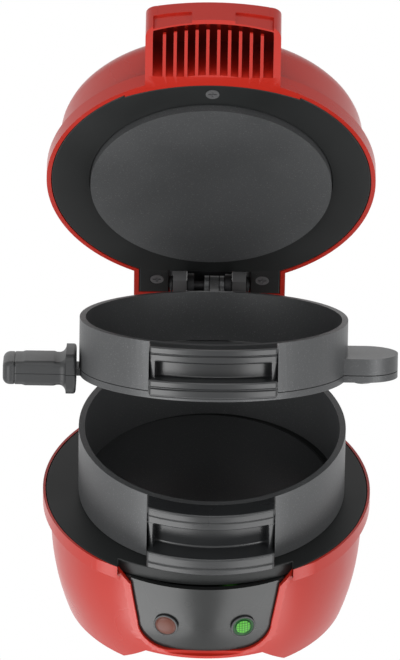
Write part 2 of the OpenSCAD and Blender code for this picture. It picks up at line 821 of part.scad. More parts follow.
module hinge_post() on_base() color(BLACK) difference() {
    union() {
        block([-post_half, post_front, post_bottom], [post_half, post_back, hinge_z - fork_depth]);
        for (side = [-1, 1]) {
            x0 = side > 0 ? fork_half : -post_half;
            x1 = side > 0 ? post_half : -fork_half;
            hinge_rod(fork_r, x0, x1, hinge_y, hinge_z);
            side_plate([[post_front, hinge_z - fork_depth - eps], [post_back, hinge_z - fork_depth - eps],
                [hinge_y + fork_r, hinge_z], [post_front, hinge_z]], x0, x1);
        }
        block([-post_half, shield_y, tower_top], [post_half, shield_y + shield_t, shield_top]);
    }
    hinge_rod(pin_r + fit_gap, -post_half - eps, post_half + eps, hinge_y, hinge_z);
    for (side = [-1, 1])
        translate([side * 5, post_back + eps, post_screw_z]) rotate([90, 0, 0])
            cylinder(r = screw_hole, h = 8 + eps, $fn = 24);
}

module hinge_post_screws() on_base() color(STEEL)
    for (side = [-1, 1])
        translate([side * 5, tower_back, post_screw_z]) rotate([90, 0, 0]) screw_up(wall + 7);

module hinge_pin() on_base() color(STEEL)
    hinge_rod(pin_r, -pin_half, pin_half, hinge_y, hinge_z);

module pin_clips() on_base() color(STEEL)
    for (x = [-bar_out - 0.2 - clip_t, bar_out + 0.2])
        difference() {
            hinge_rod(clip_r, x, x + clip_t, hinge_y, hinge_z);
            hinge_rod(pin_r + fit_gap, x - eps, x + clip_t + eps, hinge_y, hinge_z);
        }

// Rings, drawn in the frame of a ring

// Strap of the bottom ring, up behind the top ring to the pin
function strap_points() = let (y = ring_r - 1.5) [
    [y, 8], [y + 4, 8], [tower_front - 0.7, 14], [tower_front - 0.7, hinge_up - 12.5],
    [hinge_y + 2, hinge_up - knuckle_r + 0.6], [hinge_y - 2, hinge_up + knuckle_r - 0.5],
    [ring_r + 1.2, hinge_up - 8], [ring_r + 1.2, plate_z - 0.5], [y, plate_z - 0.5]
];

// Arm of the top ring, back to the pin
function arm_points() = let (y = ring_r - 1.5, low = top_ring_z + 1.5, high = top_ring_z + top_ring_h) [
    [y, low], [ring_r + 2, low], [hinge_y + 2.5, hinge_up - knuckle_r + 1],
    [hinge_y - 1, hinge_up + knuckle_r - 0.2], [ring_r + 5, high], [y, high]
];

// One block for each lug, grown by a gap, from inside the ring's wall to the lug's end
module lug_blocks(z, gap) {
    for (side = [-1, 1])
        translate([side * (lug_in + lug_out) / 2, 0, 0])
            block([-(lug_out - lug_in) / 2 - gap, -lug_r - gap, z - gap],
                [(lug_out - lug_in) / 2 + gap, 6 - ring_r, z + lug_h + gap]);
}

// Threaded lugs that a ring handle is screwed to
module lugs(z) {
    difference() {
        lug_blocks(z, 0);
        cylinder(r = ring_r - ring_wall / 2, h = stack_h);
    }
}

module lug_holes(z) {
    for (side = [-1, 1])
        rod(screw_hole, side * grip_screw_x, -grip_screw_y, z - eps, z + lug_h + eps);
}

module bottom_ring() on_ring(0) color(COATED) difference() {
    union() {
        tube(ring_r, ring_r - ring_wall, run_gap, run_gap + bottom_ring_h);
        for (x = [-leaf_out, leaf_in]) {
            side_plate(strap_points(), x, x + leaf_out - leaf_in);
            hinge_rod(knuckle_r, x, x + leaf_out - leaf_in, hinge_y, hinge_up);
        }
        lugs(run_gap + bottom_lug_up);
    }
    lug_holes(run_gap + bottom_lug_up);
    hinge_rod(pin_r + turn_gap, -20, 20, hinge_y, hinge_up);
}

// Grip bolted to a ring's front: two lips round a finger recess
module ring_handle(z0, z1, lip, chamfer) {
    recess_low = z0 + chamfer + lip;
    recess_high = z1 - lip;
    low_lip = [[grip_low_r - 1.25 * chamfer, z0], [grip_low_r, z0 + chamfer],
        [grip_low_r, recess_low], [grip_recess_r, recess_low]];
    intersection() {
        rotate_extrude() polygon(concat([[ring_r + fit_gap, z0]], low_lip,
            [[grip_recess_r, recess_high], [grip_top_r, recess_high],
            [grip_top_r, z1], [ring_r + fit_gap, z1]]));
        block([-grip_w / 2, -grip_low_r - eps, z0 - eps], [grip_w / 2, -20, z1 + eps]);
    }
    for (side = [-1, 1])
        intersection() {
            tube(grip_top_r, ring_r + fit_gap, recess_low - eps, recess_high + eps);
            translate([side * (grip_w - grip_end) / 2, -50, z0])
                cube([grip_end, 60, 4 * (z1 - z0)], center = true);
        }
}

module handle_on_ring(z0, z1, lip, chamfer, lug_z) {
    difference() {
        ring_handle(z0, z1, lip, chamfer);
        lug_blocks(lug_z, fit_gap);
        for (side = [-1, 1]) {
            rod(screw_hole, side * grip_screw_x, -grip_screw_y, z0 - eps, lug_z + lug_h);
            rod(head_r + run_gap, side * grip_screw_x, -grip_screw_y, z0 - eps, z0 + grip_screw_sink);
        }
    }
}

module handle_screws(z0, length) {
    for (side = [-1, 1])
        translate([side * grip_screw_x, -grip_screw_y, z0 + grip_screw_sink]) screw_up(length);
}

module bottom_ring_handle() on_ring(0) color(BLACK)
    handle_on_ring(2 * run_gap, run_gap + bottom_ring_h, bottom_lip_h, bottom_chamfer,
        run_gap + bottom_lug_up);

module bottom_ring_handle_screws() on_ring(0) color(STEEL)
    handle_screws(2 * run_gap, bottom_lug_up + lug_h - grip_screw_sink - run_gap);

// Outline of the swivel ears of the top ring and the cooking plate
module ear(z0, z1) {
    rod(ear_r, ear_centre, 0, z0, z1);
    block([ring_r - ring_wall / 2 - 8, -ear_r, z0], [ear_centre, ear_r, z1]);
}

module top_ring() on_ring(top_ring_angle) color(COATED) difference() {
    union() {
        tube(ring_r, ring_r - ring_wall, top_ring_z, top_ring_z + top_ring_h);
        difference() {
            ear(top_ring_z, top_ring_z + ear_t);
            cylinder(r = ring_r - ring_wall, h = stack_h);
        }
        side_plate(arm_points(), -top_leaf_half, top_leaf_half);
        hinge_rod(knuckle_r, -top_leaf_half, top_leaf_half, hinge_y, hinge_up);
        lugs(top_ring_z + top_lug_up);
    }
    lug_holes(top_ring_z + top_lug_up);
    hinge_rod(pin_r + turn_gap, -20, 20, hinge_y, hinge_up);
    rod(stud_r + fit_gap, swivel_x, 0, top_ring_z - eps, top_ring_z + stud_up);
}

module top_ring_handle() on_ring(top_ring_angle) color(BLACK)
    handle_on_ring(top_ring_z + run_gap, top_ring_z + top_ring_h, top_lip_h, top_chamfer,
        top_ring_z + top_lug_up);

module top_ring_handle_screws() on_ring(top_ring_angle) color(STEEL)
    handle_screws(top_ring_z + run_gap, top_lug_up + lug_h - grip_screw_sink - run_gap);

module swivel_stud() on_ring(top_ring_angle) color(STEEL)
    rod(stud_r, swivel_x, 0, plate_z - washer_t - nut_h, top_ring_z + stud_up - 0.2);

module swivel_washer() on_ring(top_ring_angle) color(STEEL)
    translate([swivel_x, 0, 0])
        tube(nut_r, stud_r + fit_gap, plate_z - washer_t, plate_z - fit_gap);

module swivel_nut() on_ring(top_ring_angle) color(STEEL)
    translate([swivel_x, 0, 0])
        difference() {
            union() {
                rod(nut_r, 0, 0, plate_z - washer_t - 1.2, plate_z - washer_t);
                translate([0, 0, plate_z - washer_t - nut_h])
                    cylinder(r1 = nut_r - 1.4, r2 = nut_r, h = nut_h - 1.2, $fn = 48);
            }
            rod(stud_r + fit_gap, 0, 0, plate_z - washer_t - nut_h - eps, plate_z);
        }

module cooking_plate() on_ring(top_ring_angle) color(COATED) difference() {
    union() {
        rod(ring_r, 0, 0, plate_z, plate_z + cooking_plate_t);
        ear(plate_z, plate_z + cooking_plate_t);
        block([-tang_tip, -tang_half, plate_z], [-ring_r + 6, tang_half, plate_z + cooking_plate_t]);
    }
    rod(stud_r + turn_gap, swivel_x, 0, plate_z - eps, top_ring_z);
    for (x = tang_screw_x)
        rod(screw_hole, -x, 0, plate_z - eps, top_ring_z);
}

// Box with rounded upright edges at its far end, from x = -x1 to x = -x0
module grip_body(x0, x1, half, corner, z0, z1) {
    block([-x1 + corner, -half, z0], [-x0, half, z1]);
    block([-x1, -half + corner, z0], [-x1 + corner, half - corner, z1]);
    for (side = [-1, 1])
        rod(corner, -x1 + corner, side * (half - corner), z0, z1);
}

// One half of the plate handle with its share of the guard, between two levels
module handle_half(z0, z1, guard_z0, guard_z1) {
    difference() {
        union() {
            intersection() {
                grip_body(grip_root_x, plate_grip_tip, plate_grip_w / 2, grip_corner_r, z0, z1);
                block([-grip_split_x, -20, z0], [0, 20, z1]);
            }
            block([-grip_root_x, -guard_w / 2, guard_z0], [-guard_x, guard_w / 2, guard_z1]);
        }
        block([-tang_tip - fit_gap, -tang_half - fit_gap, plate_z - fit_gap],
            [0, tang_half + fit_gap, plate_z + cooking_plate_t + fit_gap]);
    }
}

module plate_handle_top() on_ring(top_ring_angle) color(BLACK) difference() {
    handle_half(parting_z, parting_z + plate_grip_h / 2, parting_z, parting_z + guard_h / 2);
    for (x = tang_screw_x)
        rod(screw_hole, -x, 0, parting_z, parting_z + plate_grip_h / 2 - 0.8);
}

module plate_handle_bottom() on_ring(top_ring_angle) color(BLACK) difference() {
    handle_half(parting_z - plate_grip_h / 2, parting_z, parting_z - guard_h / 2, parting_z);
    for (x = tang_screw_x) {
        rod(screw_hole, -x, 0, parting_z - plate_grip_h, parting_z);
        rod(head_r + fit_gap, -x, 0, parting_z - plate_grip_h,
            parting_z - plate_grip_h / 2 + head_h);
    }
}

module plate_handle_end_cap() on_ring(top_ring_angle) color(BLACK)
    intersection() {
        grip_body(grip_root_x, plate_grip_tip, plate_grip_w / 2, grip_corner_r,
            parting_z - plate_grip_h / 2, parting_z + plate_grip_h / 2);
        block([-plate_grip_tip - eps, -20, 0], [-grip_split_x, 20, stack_h]);
    }

module plate_handle_screws() on_ring(top_ring_angle) color(STEEL)
    for (x = tang_screw_x)
        translate([-x, 0, parting_z - plate_grip_h / 2 + head_h])
            screw_up(plate_grip_h - head_h - 1.2);

// Lid, drawn in the frame of the lid

// Points of the lid's outer or inner skin, from the middle of its top to its open side
function lid_points(inset) = let (steps = 6, corner = lid_corner_r - inset) concat(
    [for (i = [0 : 3]) [lid_top_r * i / 4, lid_h - inset - crown * pow(i / 4, 2)]],
    [for (i = [0 : steps]) let (a = 90 - 90 * i / steps)
        [lid_top_r + corner * cos(a), lid_corner_z + corner * sin(a)]]);

module lid_shell() {
    difference() {
        union() {
            rotate_extrude() polygon(concat(lid_points(0),
                [[lid_wall_r + 0.6, rim_h + 1.5], [rim_r, rim_h], [rim_r, 0], [0, 0]]));
            block([-neck_half, 45, 0], [neck_half, hinge_y + neck_back, neck_h]);
        }
        rotate_extrude() polygon(concat(lid_points(wall), [[lid_wall_r - wall, -eps], [0, -eps]]));
        for (side = [-1, 1])
            translate([side * (bar_in + neck_half - neck_wall) / 2, 0, 0])
                block([-(neck_half - neck_wall - bar_in) / 2, 45, -eps],
                    [(neck_half - neck_wall - bar_in) / 2, hinge_y + neck_back - neck_wall,
                    neck_h - neck_wall]);
        block([-bar_in, recess_y, -eps], [bar_in, hinge_y + neck_back + eps, neck_h + eps]);
    }
}

// Face plate outline with its neck
module face_outline(h, grow) {
    flat_front_disc(face_r, face_front, face_front_r, h, grow);
    block([-neck_half + neck_wall + seat_gap - grow, 40, 0],
        [neck_half - neck_wall - seat_gap + grow, hinge_y + neck_back - neck_wall - seat_gap + grow, h]);
}

// Plan of the lid handle: sides, front corners and the round front that a cylinder cuts
module handle_plan() {
    corner_x = handle_w / 2 - handle_corner_r;
    corner_y = sqrt(pow(handle_reach - handle_corner_r, 2) - corner_x * corner_x);
    block([-handle_w / 2, -corner_y, 0], [handle_w / 2, 0, lid_h]);
    block([-corner_x, -handle_reach, 0], [corner_x, 0, lid_h]);
    for (side = [-1, 1])
        rod(handle_corner_r, side * corner_x, -corner_y, 0, lid_h);
}

// Solid form of the lid handle: round front, underside rising to the tip
module handle_form() {
    intersection() {
        cylinder(r = handle_reach, h = lid_h);
        handle_plan();
        side_plate([[-lid_wall_r + 1, 0], [-rim_r, 0], [-handle_reach, handle_tip_low],
            [-handle_reach, handle_top], [-lid_wall_r + 1, handle_top + 2]], -handle_w, handle_w);
    }
}

module lid_handle() {
    difference() {
        handle_form();
        difference() {
            intersection() {
                cylinder(r = handle_reach - handle_wall, h = handle_top);
                translate([0, 0, -3])
                    side_plate([[-rim_r, 0], [-handle_reach, 0], [-handle_reach, handle_top + 3 - handle_skin],
                        [-rim_r, handle_top + 5 - handle_skin]],
                        -handle_w / 2 + handle_wall, handle_w / 2 - handle_wall);
            }
            cylinder(r = handle_root_r, h = 60);
            for (i = [0 : handle_ribs - 1])
                translate([(i - (handle_ribs - 1) / 2) * handle_rib_pitch, 0, 0])
                    block([-handle_rib_t / 2, -handle_reach, 0], [handle_rib_t / 2, 0, 40]);
        }
    }
}

module lid_housing() on_lid() color(RED) difference() {
    union() {
        lid_shell();
        lid_handle();
        rod(boss_r, 0, face_screw_front, face_t, lid_corner_z + 4);
        for (side = [-1, 1])
            rod(boss_r, side * face_screw_x, face_screw_y, face_t + wing_t, neck_h - eps / 2);
        for (a = [30, 150, 210, 330])
            rotate([0, 0, a]) block([reflector_r + 1, -0.8, face_t * 2 + reflector_t],
                [lid_wall_r - wall / 2, 0.8, lid_corner_z + 2]);
    }
    translate([0, 0, -eps]) face_outline(face_t + eps, seat_gap);
    rod(screw_hole, 0, face_screw_front, 0, 14);
    for (side = [-1, 1])
        rod(screw_hole, side * face_screw_x, face_screw_y, 0, 14);
}

module lid_face_plate() on_lid() color(BLACK) difference() {
    face_outline(face_t, 0);
    translate([0, 0, -eps]) cylinder(r = upper_plate_r + seat_gap, h = 5);
    block([-recess_half, recess_y, -eps], [recess_half, hinge_y + neck_back, face_t + eps]);
    translate([0, face_screw_front, 0]) screw_sink();
    for (side = [-1, 1])
        translate([side * face_screw_x, face_screw_y, 0]) screw_sink();
}

// Countersink for a flush screw, through the face plate
module screw_sink() {
    translate([0, 0, -0.01]) cylinder(r1 = head_r + fit_gap, r2 = screw_hole, h = face_t + 0.02, $fn = 32);
    rod(screw_hole, 0, 0, -eps, face_t + eps);
}

module lid_face_screws() on_lid() color(STEEL) {
    translate([0, face_screw_front, 0]) flush_screw(12);
    for (side = [-1, 1])
        translate([side * face_screw_x, face_screw_y, 0]) flush_screw(12);
}

module upper_heating_plate() on_lid() color(COATED) difference() {
    union() {
        rod(upper_plate_r, 0, 0, -upper_plate_dip, 2 * face_t);
        rod(upper_plate_r + 3, 0, 0, face_t, 2 * face_t);
        plate_back(2 * face_t);
    }
    plate_back_cuts(2 * face_t);
}

module upper_heating_element() on_lid() color(ALU)
    translate([0, 0, 2 * face_t + rib_h]) element(upper_leg);

module upper_reflector() on_lid() color(STEEL) translate([0, 0, 2 * face_t]) {
    reflector_dish();
    tube(reflector_r + reflector_brim, reflector_r - reflector_t, 0, reflector_t);
}

module upper_plate_screws() on_lid() color(STEEL)
    for (a = plate_boss_angles)
        rotate([0, 0, a]) translate([plate_boss_r, 0, 2 * face_t + plate_boss_h + reflector_t])
            mirror([0, 0, 1]) screw_up(plate_boss_h - 3);

module upper_thermal_fuse() on_lid() color(CERAMIC) translate([0, 0, 2 * face_t])
    fuse();

module lid_hinge_bracket() on_lid() color(COATED) difference() {
    union() {
        for (side = [-1, 1]) {
            x0 = side > 0 ? bar_in : -bar_out;
            x1 = side > 0 ? bar_out : -bar_in;
            hinge_rod(knuckle_r, x0, x1, hinge_y, -hinge_drop);
            block([x0, recess_y + 0.2, -hinge_drop - knuckle_r], [x1, hinge_y, bridge_top]);
            block([x0, hinge_y - 1, -hinge_drop], [x1, hinge_y + knuckle_r, bridge_top]);
            block([x0, bridge_front, face_t], [x1, hinge_y, bridge_top]);
        }
        block([-bar_out, bridge_front, face_t], [bar_out, bridge_back, bridge_top]);
        block([-bar_in + fit_gap, bridge_front, bridge_top - eps],
            [bar_in - fit_gap, bridge_back, bridge_wall_top]);
        for (side = [-1, 1])
            block([side > 0 ? bar_out - eps : -wing_half, hinge_y - 9, face_t],
                [side > 0 ? wing_half : -bar_out + eps, hinge_y + 4.5, face_t + wing_t]);
    }
    hinge_rod(pin_r + turn_gap, -bar_out - eps, bar_out + eps, hinge_y, -hinge_drop);
    for (x = [-pin_half - run_gap, bar_out])
        hinge_rod(clip_r + run_gap, x, x + pin_half + run_gap - bar_out, hinge_y, -hinge_drop);
    for (side = [-1, 1])
        rod(screw_hole, side * face_screw_x, face_screw_y, face_t - eps, face_t + wing_t + eps);
}

module lid_wiring() on_lid() color([0.75, 0.72, 0.62]) {
    leg_top = 2 * face_t + rib_h + upper_leg + leg_pin + wire_r + 0.2;
    for (side = [-1, 1])
        wire([[-side * leg_x, leg_y, leg_top], [side * 17, 44, 24], [side * 14.5, 62, 11]], wire_r);
}

base_housing();
bottom_cover();
bottom_cover_screws();
rubber_feet();
base_deck();
lower_heating_plate();
lower_heating_element();
lower_reflector();
lower_plate_screws();
thermostat();
lower_thermal_fuse();
control_panel();
lamp_bezels();
power_lens();
preheat_lens();
neon_lamps();
lamp_holder();
lamp_holder_screw();
terminal_block();
supply_wiring();
lamp_wiring();
cord_gland();
hinge_post();
hinge_post_screws();
hinge_pin();
pin_clips();
bottom_ring();
bottom_ring_handle();
bottom_ring_handle_screws();
top_ring();
top_ring_handle();
top_ring_handle_screws();
swivel_stud();
swivel_washer();
swivel_nut();
cooking_plate();
plate_handle_top();
plate_handle_bottom();
plate_handle_end_cap();
plate_handle_screws();
lid_housing();
lid_face_plate();
lid_face_screws();
upper_heating_plate();
upper_heating_element();
upper_reflector();
upper_plate_screws();
upper_thermal_fuse();
lid_hinge_bracket();
lid_wiring();
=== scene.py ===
"""Looks of the breakfast sandwich maker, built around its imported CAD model.

Shapes are worked out in millimetres in the maker's natural frame: the rings' axis is x = y = 0,
-Y is the front and z = 0 is the table. place() then raises them like their body and moves them
to the frame of the part, in metres.
"""
import math

import bmesh
import bpy
import numpy as np
from mathutils import Matrix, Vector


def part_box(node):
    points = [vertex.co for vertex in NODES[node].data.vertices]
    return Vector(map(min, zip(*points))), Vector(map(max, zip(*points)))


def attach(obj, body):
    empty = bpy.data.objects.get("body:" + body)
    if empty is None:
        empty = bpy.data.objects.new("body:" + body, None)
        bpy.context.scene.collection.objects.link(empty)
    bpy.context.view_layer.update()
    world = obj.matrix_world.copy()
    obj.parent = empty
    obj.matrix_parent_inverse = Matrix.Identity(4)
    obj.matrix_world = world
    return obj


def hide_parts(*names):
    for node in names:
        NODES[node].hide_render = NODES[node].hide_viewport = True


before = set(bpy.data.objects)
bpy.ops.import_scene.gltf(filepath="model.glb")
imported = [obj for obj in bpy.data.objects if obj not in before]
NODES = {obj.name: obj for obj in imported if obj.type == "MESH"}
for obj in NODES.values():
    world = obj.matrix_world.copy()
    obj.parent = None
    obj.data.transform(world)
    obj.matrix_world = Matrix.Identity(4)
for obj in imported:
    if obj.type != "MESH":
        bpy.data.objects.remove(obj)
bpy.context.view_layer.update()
MM = 0.001

# Middle of the feet, which is the natural frame's origin, in millimetres of the part's frame
FEET_LOW, FEET_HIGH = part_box("rubber_feet")
HOME = np.array([(FEET_LOW[0] + FEET_HIGH[0]) / 2, (FEET_LOW[1] + FEET_HIGH[1]) / 2, 0.0]) / MM

# Hinge line, and the raised pieces, in millimetres and degrees
HINGE_Y = 68.0
HINGE_Z = 107.0
LID_Z = 107.8
RING_PLAY = 2.0
TOP_RING_ANGLE = 23.3
LID_ANGLE = 73.1

# Base, deck and rim
DECK_H = 52.5
RIM_R = 67.6
DECK_R = 66.3
BODY_TOP_R = 64.3
BODY_TOP_Z = 45.0
BASE_TAPER = 6.3
TAPER_POWER = 2.4
FOOT_OUT = 1.0
RIM_LOW_Z = 46.5
RIM_RUN_OUT_X = 36.0
RIM_RUN_OUT = 13.0

# Front panel and its lights
PANEL_TOP_HALF = 30.4
PANEL_LOW_HALF = 27.0
PANEL_CORNER_R = 12.0
PANEL_LOW_Z = 13.0
PANEL_TOP_Z = 45.7
BORDER_LOW_W = 1.5
BORDER_EXTRA_W = 1.5
BORDER_RISE = 9.0
LAMP_ANGLE = 14.7
LAMP_Z = 26.5
LAMP_FACE_R = 61.71
BEZEL_R = 5.15
BEZEL_TUBE_R = 4.55
LENS_R = 4.35

# Finger grips of the two rings
GRIP_HALF = 26.2
GRIP_LOW_R = 67.0
GRIP_TOP_R = 63.0
GRIP_RECESS_R = 58.0
GRIP_IN_R = 55.05
GRIP_SIDE = 2.4
GRIP_WALL_RAMP = 1.0
GRIP_END_ROUND = 1.1
GRIP_SCREW_X = 13.0
GRIP_SCREW_Y = 57.0
GRIP_HOLE_R = 3.1
GRIP_HOLE_DEPTH = 2.2

# Plate handle: places by distance from the ring axis, then half sizes of its section
GUARD_X = 56.1
GUARD_ROUND = 1.2
FLARE_END_X = 63.2
FLARE = 3.0
PAD_FROM_X = 63.8
PAD_TO_X = 78.4
PAD_RAMP = 1.6
SEAM_X = 81.3
TIP_X = 86.1
TIP_ROUND = 3.0
PLATE_GRIP_W = 12.0
PLATE_GRIP_H = 4.8
PLATE_GRIP_CORNER = 2.2
GUARD_EXTRA_W = 2.0
GUARD_EXTRA_H = 3.45
PAD_RISE = 0.4
PARTING_Z = 32.95

# Lid handle: half lengths of the slot before the ribs and of the raised middle of its band
SLOT_HALF = 24.4
BAND_HALF = 8.8

# Rear shield of the hinge post, drawn out close to the lid's bars
SHIELD_X = (8.8, 9.4)
SHIELD_Y = (72.6, 75.2)
SHIELD_Z = (80.0, 111.0)

# Tolerances for joining points, in metres, and the triangles of a CAD mesh, in degrees
SAME_POINT = 1e-7
MERGE = 2e-6
FLAT = 0.2
COPLANAR = 0.5
SQUARE = 60

# Edges that turn more than this, in degrees, are rounded, or shaded as edges
BEVEL_ANGLE = 32
SHARP_ANGLE = 30

# Where each body's pieces are drawn: raised angle, and the shift of its own frame
FRAMES = {
    "base": (0.0, (0.0, 0.0, 0.0)),
    "bottom_ring": (0.0, (RING_PLAY, 0.0, DECK_H)),
    "top_ring": (TOP_RING_ANGLE, (RING_PLAY, 0.0, DECK_H)),
    "cooking_plate": (TOP_RING_ANGLE, (RING_PLAY, 0.0, DECK_H)),
    "lid": (LID_ANGLE, (0.0, 0.0, LID_Z)),
}


def place(points, body):
    """Points of a body's own frame, in mm, to the part's frame, in metres.

    A raised point turns about the hinge: y' = dy cos a + dz sin a, z' = -dy sin a + dz cos a.
    """
    angle, shift = FRAMES[body]
    p = np.asarray(points, float) + np.array(shift)
    a = math.radians(angle)
    dy = p[..., 1] - HINGE_Y
    dz = p[..., 2] - HINGE_Z
    out = np.stack([
        p[..., 0],
        HINGE_Y + dy * math.cos(a) + dz * math.sin(a),
        HINGE_Z - dy * math.sin(a) + dz * math.cos(a),
    ], axis=-1)
    return (out + HOME) * MM


# Surfaces

def fillet(corners, radii, steps=4):
    """Closed outline whose corner i is rounded with radius radii[i].

    The arc's tangent points lie r / tan(half the corner's angle) from the corner.
    """
    pts = np.asarray(corners, float)
    count = len(pts)
    out = []
    for i in range(count):
        r = radii[i]
        if r <= 0:
            out.append(pts[i][None])
            continue
        a = pts[i - 1] - pts[i]
        b = pts[(i + 1) % count] - pts[i]
        la, lb = np.linalg.norm(a), np.linalg.norm(b)
        a, b = a / la, b / lb
        half = math.acos(np.clip(a @ b, -1, 1)) / 2
        if half > math.radians(89):
            out.append(pts[i][None])
            continue
        reach = min(r / math.tan(half), 0.49 * la, 0.49 * lb)
        r = reach * math.tan(half)
        middle = pts[i] + (a + b) / np.linalg.norm(a + b) * (r / math.sin(half))
        p0 = pts[i] + a * reach - middle
        p1 = pts[i] + b * reach - middle
        sweep = math.pi - 2 * half
        t = np.linspace(0, 1, steps + 1)[:, None]
        arc = (np.sin((1 - t) * sweep) * p0 + np.sin(t * sweep) * p1) / math.sin(sweep)
        out.append(middle + arc)
    return np.concatenate(out)


def outward(outline):
    """Unit normals of a closed 2-D outline, to the right of its direction of travel."""
    d = np.roll(outline, -1, 0) - np.roll(outline, 1, 0)
    n = np.stack([d[:, 1], -d[:, 0]], 1)
    return n / np.maximum(np.linalg.norm(n, axis=1), 1e-9)[:, None]


def signed_area(outline):
    """Shoelace area of a closed outline: positive when it runs counter-clockwise."""
    x, y = outline.T
    return 0.5 * float(np.sum(x * np.roll(y, -1) - np.roll(x, -1) * y))


def counter_clockwise(outline):
    """The same outline, turned round if it runs clockwise."""
    return outline if signed_area(outline) > 0 else outline[::-1]


class Shell:
    """Vertices and faces gathered from several surfaces, for one mesh."""

    def __init__(self):
        self.points = []
        self.faces = []
        self.count = 0

    def add(self, points, faces):
        """Takes up a surface: its points, and its faces as rows of indices into those points."""
        self.points.append(np.asarray(points, float).reshape(-1, 3))
        self.faces += [tuple(int(k) + self.count for k in f) for f in faces]
        self.count += len(self.points[-1])
        return self

    def grid(self, p, wrap_u=False, wrap_v=False, caps=False):
        """Quads between neighbours of a grid p[u, v]; caps close its first and last rows."""
        nu, nv = p.shape[:2]
        index = np.arange(nu * nv).reshape(nu, nv)
        if wrap_u:
            index = np.concatenate([index, index[:1]], 0)
        if wrap_v:
            index = np.concatenate([index, index[:, :1]], 1)
        quads = np.stack([index[:-1, :-1], index[1:, :-1], index[1:, 1:], index[:-1, 1:]], -1)
        faces = [tuple(q) for q in quads.reshape(-1, 4).tolist()]
        if caps:
            ring = np.arange(nu * nv).reshape(nu, nv)
            faces += [tuple(ring[0].tolist()), tuple(ring[-1][::-1].tolist())]
        return self.add(p, faces)


def upright_plate(outline, z0, z1):
    """Outline raised between two levels, closed by flat faces."""
    outline = counter_clockwise(np.asarray(outline, float))
    flat = np.repeat(outline[None], 2, 0)
    z = np.broadcast_to(np.array([z0, z1])[:, None, None], flat.shape[:2] + (1,))
    return Shell().grid(np.concatenate([flat, z], -1), wrap_v=True, caps=True)


def upright_rod(radius, x, y, z0, z1, count=32):
    """Cylinder on an upright axis: (x + r cos t, y + r sin t, z)."""
    t = np.linspace(0, 2 * np.pi, count, endpoint=False)
    return upright_plate(np.stack([x + radius * np.cos(t), y + radius * np.sin(t)], 1), z0, z1)


def piece(name, shell, body, replaces, material, sharp):
    """Makes the mesh object of a shell, lets it ride on its body and stand for CAD nodes."""
    points = place(np.concatenate(shell.points), body)
    mesh = bpy.data.meshes.new(name)
    mesh.from_pydata(points.tolist(), [], shell.faces)
    mesh.validate()
    bm = bmesh.new()
    bm.from_mesh(mesh)
    bmesh.ops.remove_doubles(bm, verts=bm.verts, dist=SAME_POINT)
    bmesh.ops.recalc_face_normals(bm, faces=bm.faces)
    bm.to_mesh(mesh)
    bm.free()
    return finish_piece(name, mesh, body, replaces, material, sharp)


def finish_piece(name, mesh, body, replaces, material, sharp):
    """Object of a mesh in the part's frame, with its finish, its body and the nodes it stands for.

    Edges that turn more than the angle sharp, in degrees, are shaded as edges.
    """
    obj = bpy.data.objects.new(name, mesh)
    bpy.context.scene.collection.objects.link(obj)
    mesh.materials.clear()
    mesh.materials.append(material)
    mesh.polygons.foreach_set("use_smooth", np.ones(len(mesh.polygons), bool))
    mesh.set_sharp_from_angle(angle=math.radians(sharp))
    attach(obj, body)
    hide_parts(*replaces)
    return obj


def carved(mesh, cutters, body, fills=()):
    """Mesh with the solids of some shells added and those of the cutters taken away.

    Both kinds are drawn in the body's own frame.
    """
    block = bpy.data.objects.new("block", mesh)
    bpy.context.scene.collection.objects.link(block)
    tools = []
    for cutter in list(fills) + list(cutters):
        tool_mesh = bpy.data.meshes.new("tool")
        tool_mesh.from_pydata(
            place(np.concatenate(cutter.points), body).tolist(), [], cutter.faces)
        bm = bmesh.new()
        bm.from_mesh(tool_mesh)
        bmesh.ops.remove_doubles(bm, verts=bm.verts, dist=SAME_POINT)
        bmesh.ops.triangulate(bm, faces=bm.faces)
        bmesh.ops.recalc_face_normals(bm, faces=bm.faces)
        bm.to_mesh(tool_mesh)
        bm.free()
        tool = bpy.data.objects.new("tool", tool_mesh)
        bpy.context.scene.collection.objects.link(tool)
        cut = block.modifiers.new("cut", "BOOLEAN")
        cut.operation = "UNION" if cutter in fills else "DIFFERENCE"
        cut.solver = "EXACT"
        cut.object = tool
        tools.append(tool)
    graph = bpy.context.evaluated_depsgraph_get()
    result = bpy.data.meshes.new_from_object(block.evaluated_get(graph))
    for obj in [block] + tools:
        data = obj.data
        bpy.data.objects.remove(obj)
        bpy.data.meshes.remove(data)
    return result


def softened(node, body, width, material, cutters=(), fills=()):
    """Copy of a CAD node with merged points, joined flat faces and edges rounded by a width."""
    name = node + "_finished"
    mesh = NODES[node].data.copy()
    bm = bmesh.new()
    bm.from_mesh(mesh)
    bmesh.ops.remove_doubles(bm, verts=bm.verts, dist=MERGE)
    bm.to_mesh(mesh)
    bm.free()
    if cutters or fills:
        mesh = carved(mesh, cutters, body, fills)
    mesh.name = name
    bm = bmesh.new()
    bm.from_mesh(mesh)
    bmesh.ops.remove_doubles(bm, verts=bm.verts, dist=MERGE)
    bmesh.ops.dissolve_limit(
        bm, angle_limit=math.radians(FLAT), verts=bm.verts, edges=bm.edges)
    bmesh.ops.triangulate(
        bm, faces=[f for f in bm.faces if len(f.verts) > 4], ngon_method="BEAUTY")
    bmesh.ops.join_triangles(
        bm, faces=bm.faces, angle_face_threshold=math.radians(COPLANAR),
        angle_shape_threshold=math.radians(SQUARE))
    bm.to_mesh(mesh)
    bm.free()
    obj = finish_piece(name, mesh, body, (node,), material, 180)
    bevel = obj.modifiers.new("rounded edges", "BEVEL")
    bevel.width = width * MM
    bevel.segments = 2
    bevel.limit_method = "ANGLE"
    bevel.angle_limit = math.radians(BEVEL_ANGLE)
    bevel.use_clamp_overlap = True
    bevel.miter_outer = "MITER_ARC"
    obj.data.set_sharp_from_angle(angle=math.radians(SHARP_ANGLE))
    even_shading(obj)


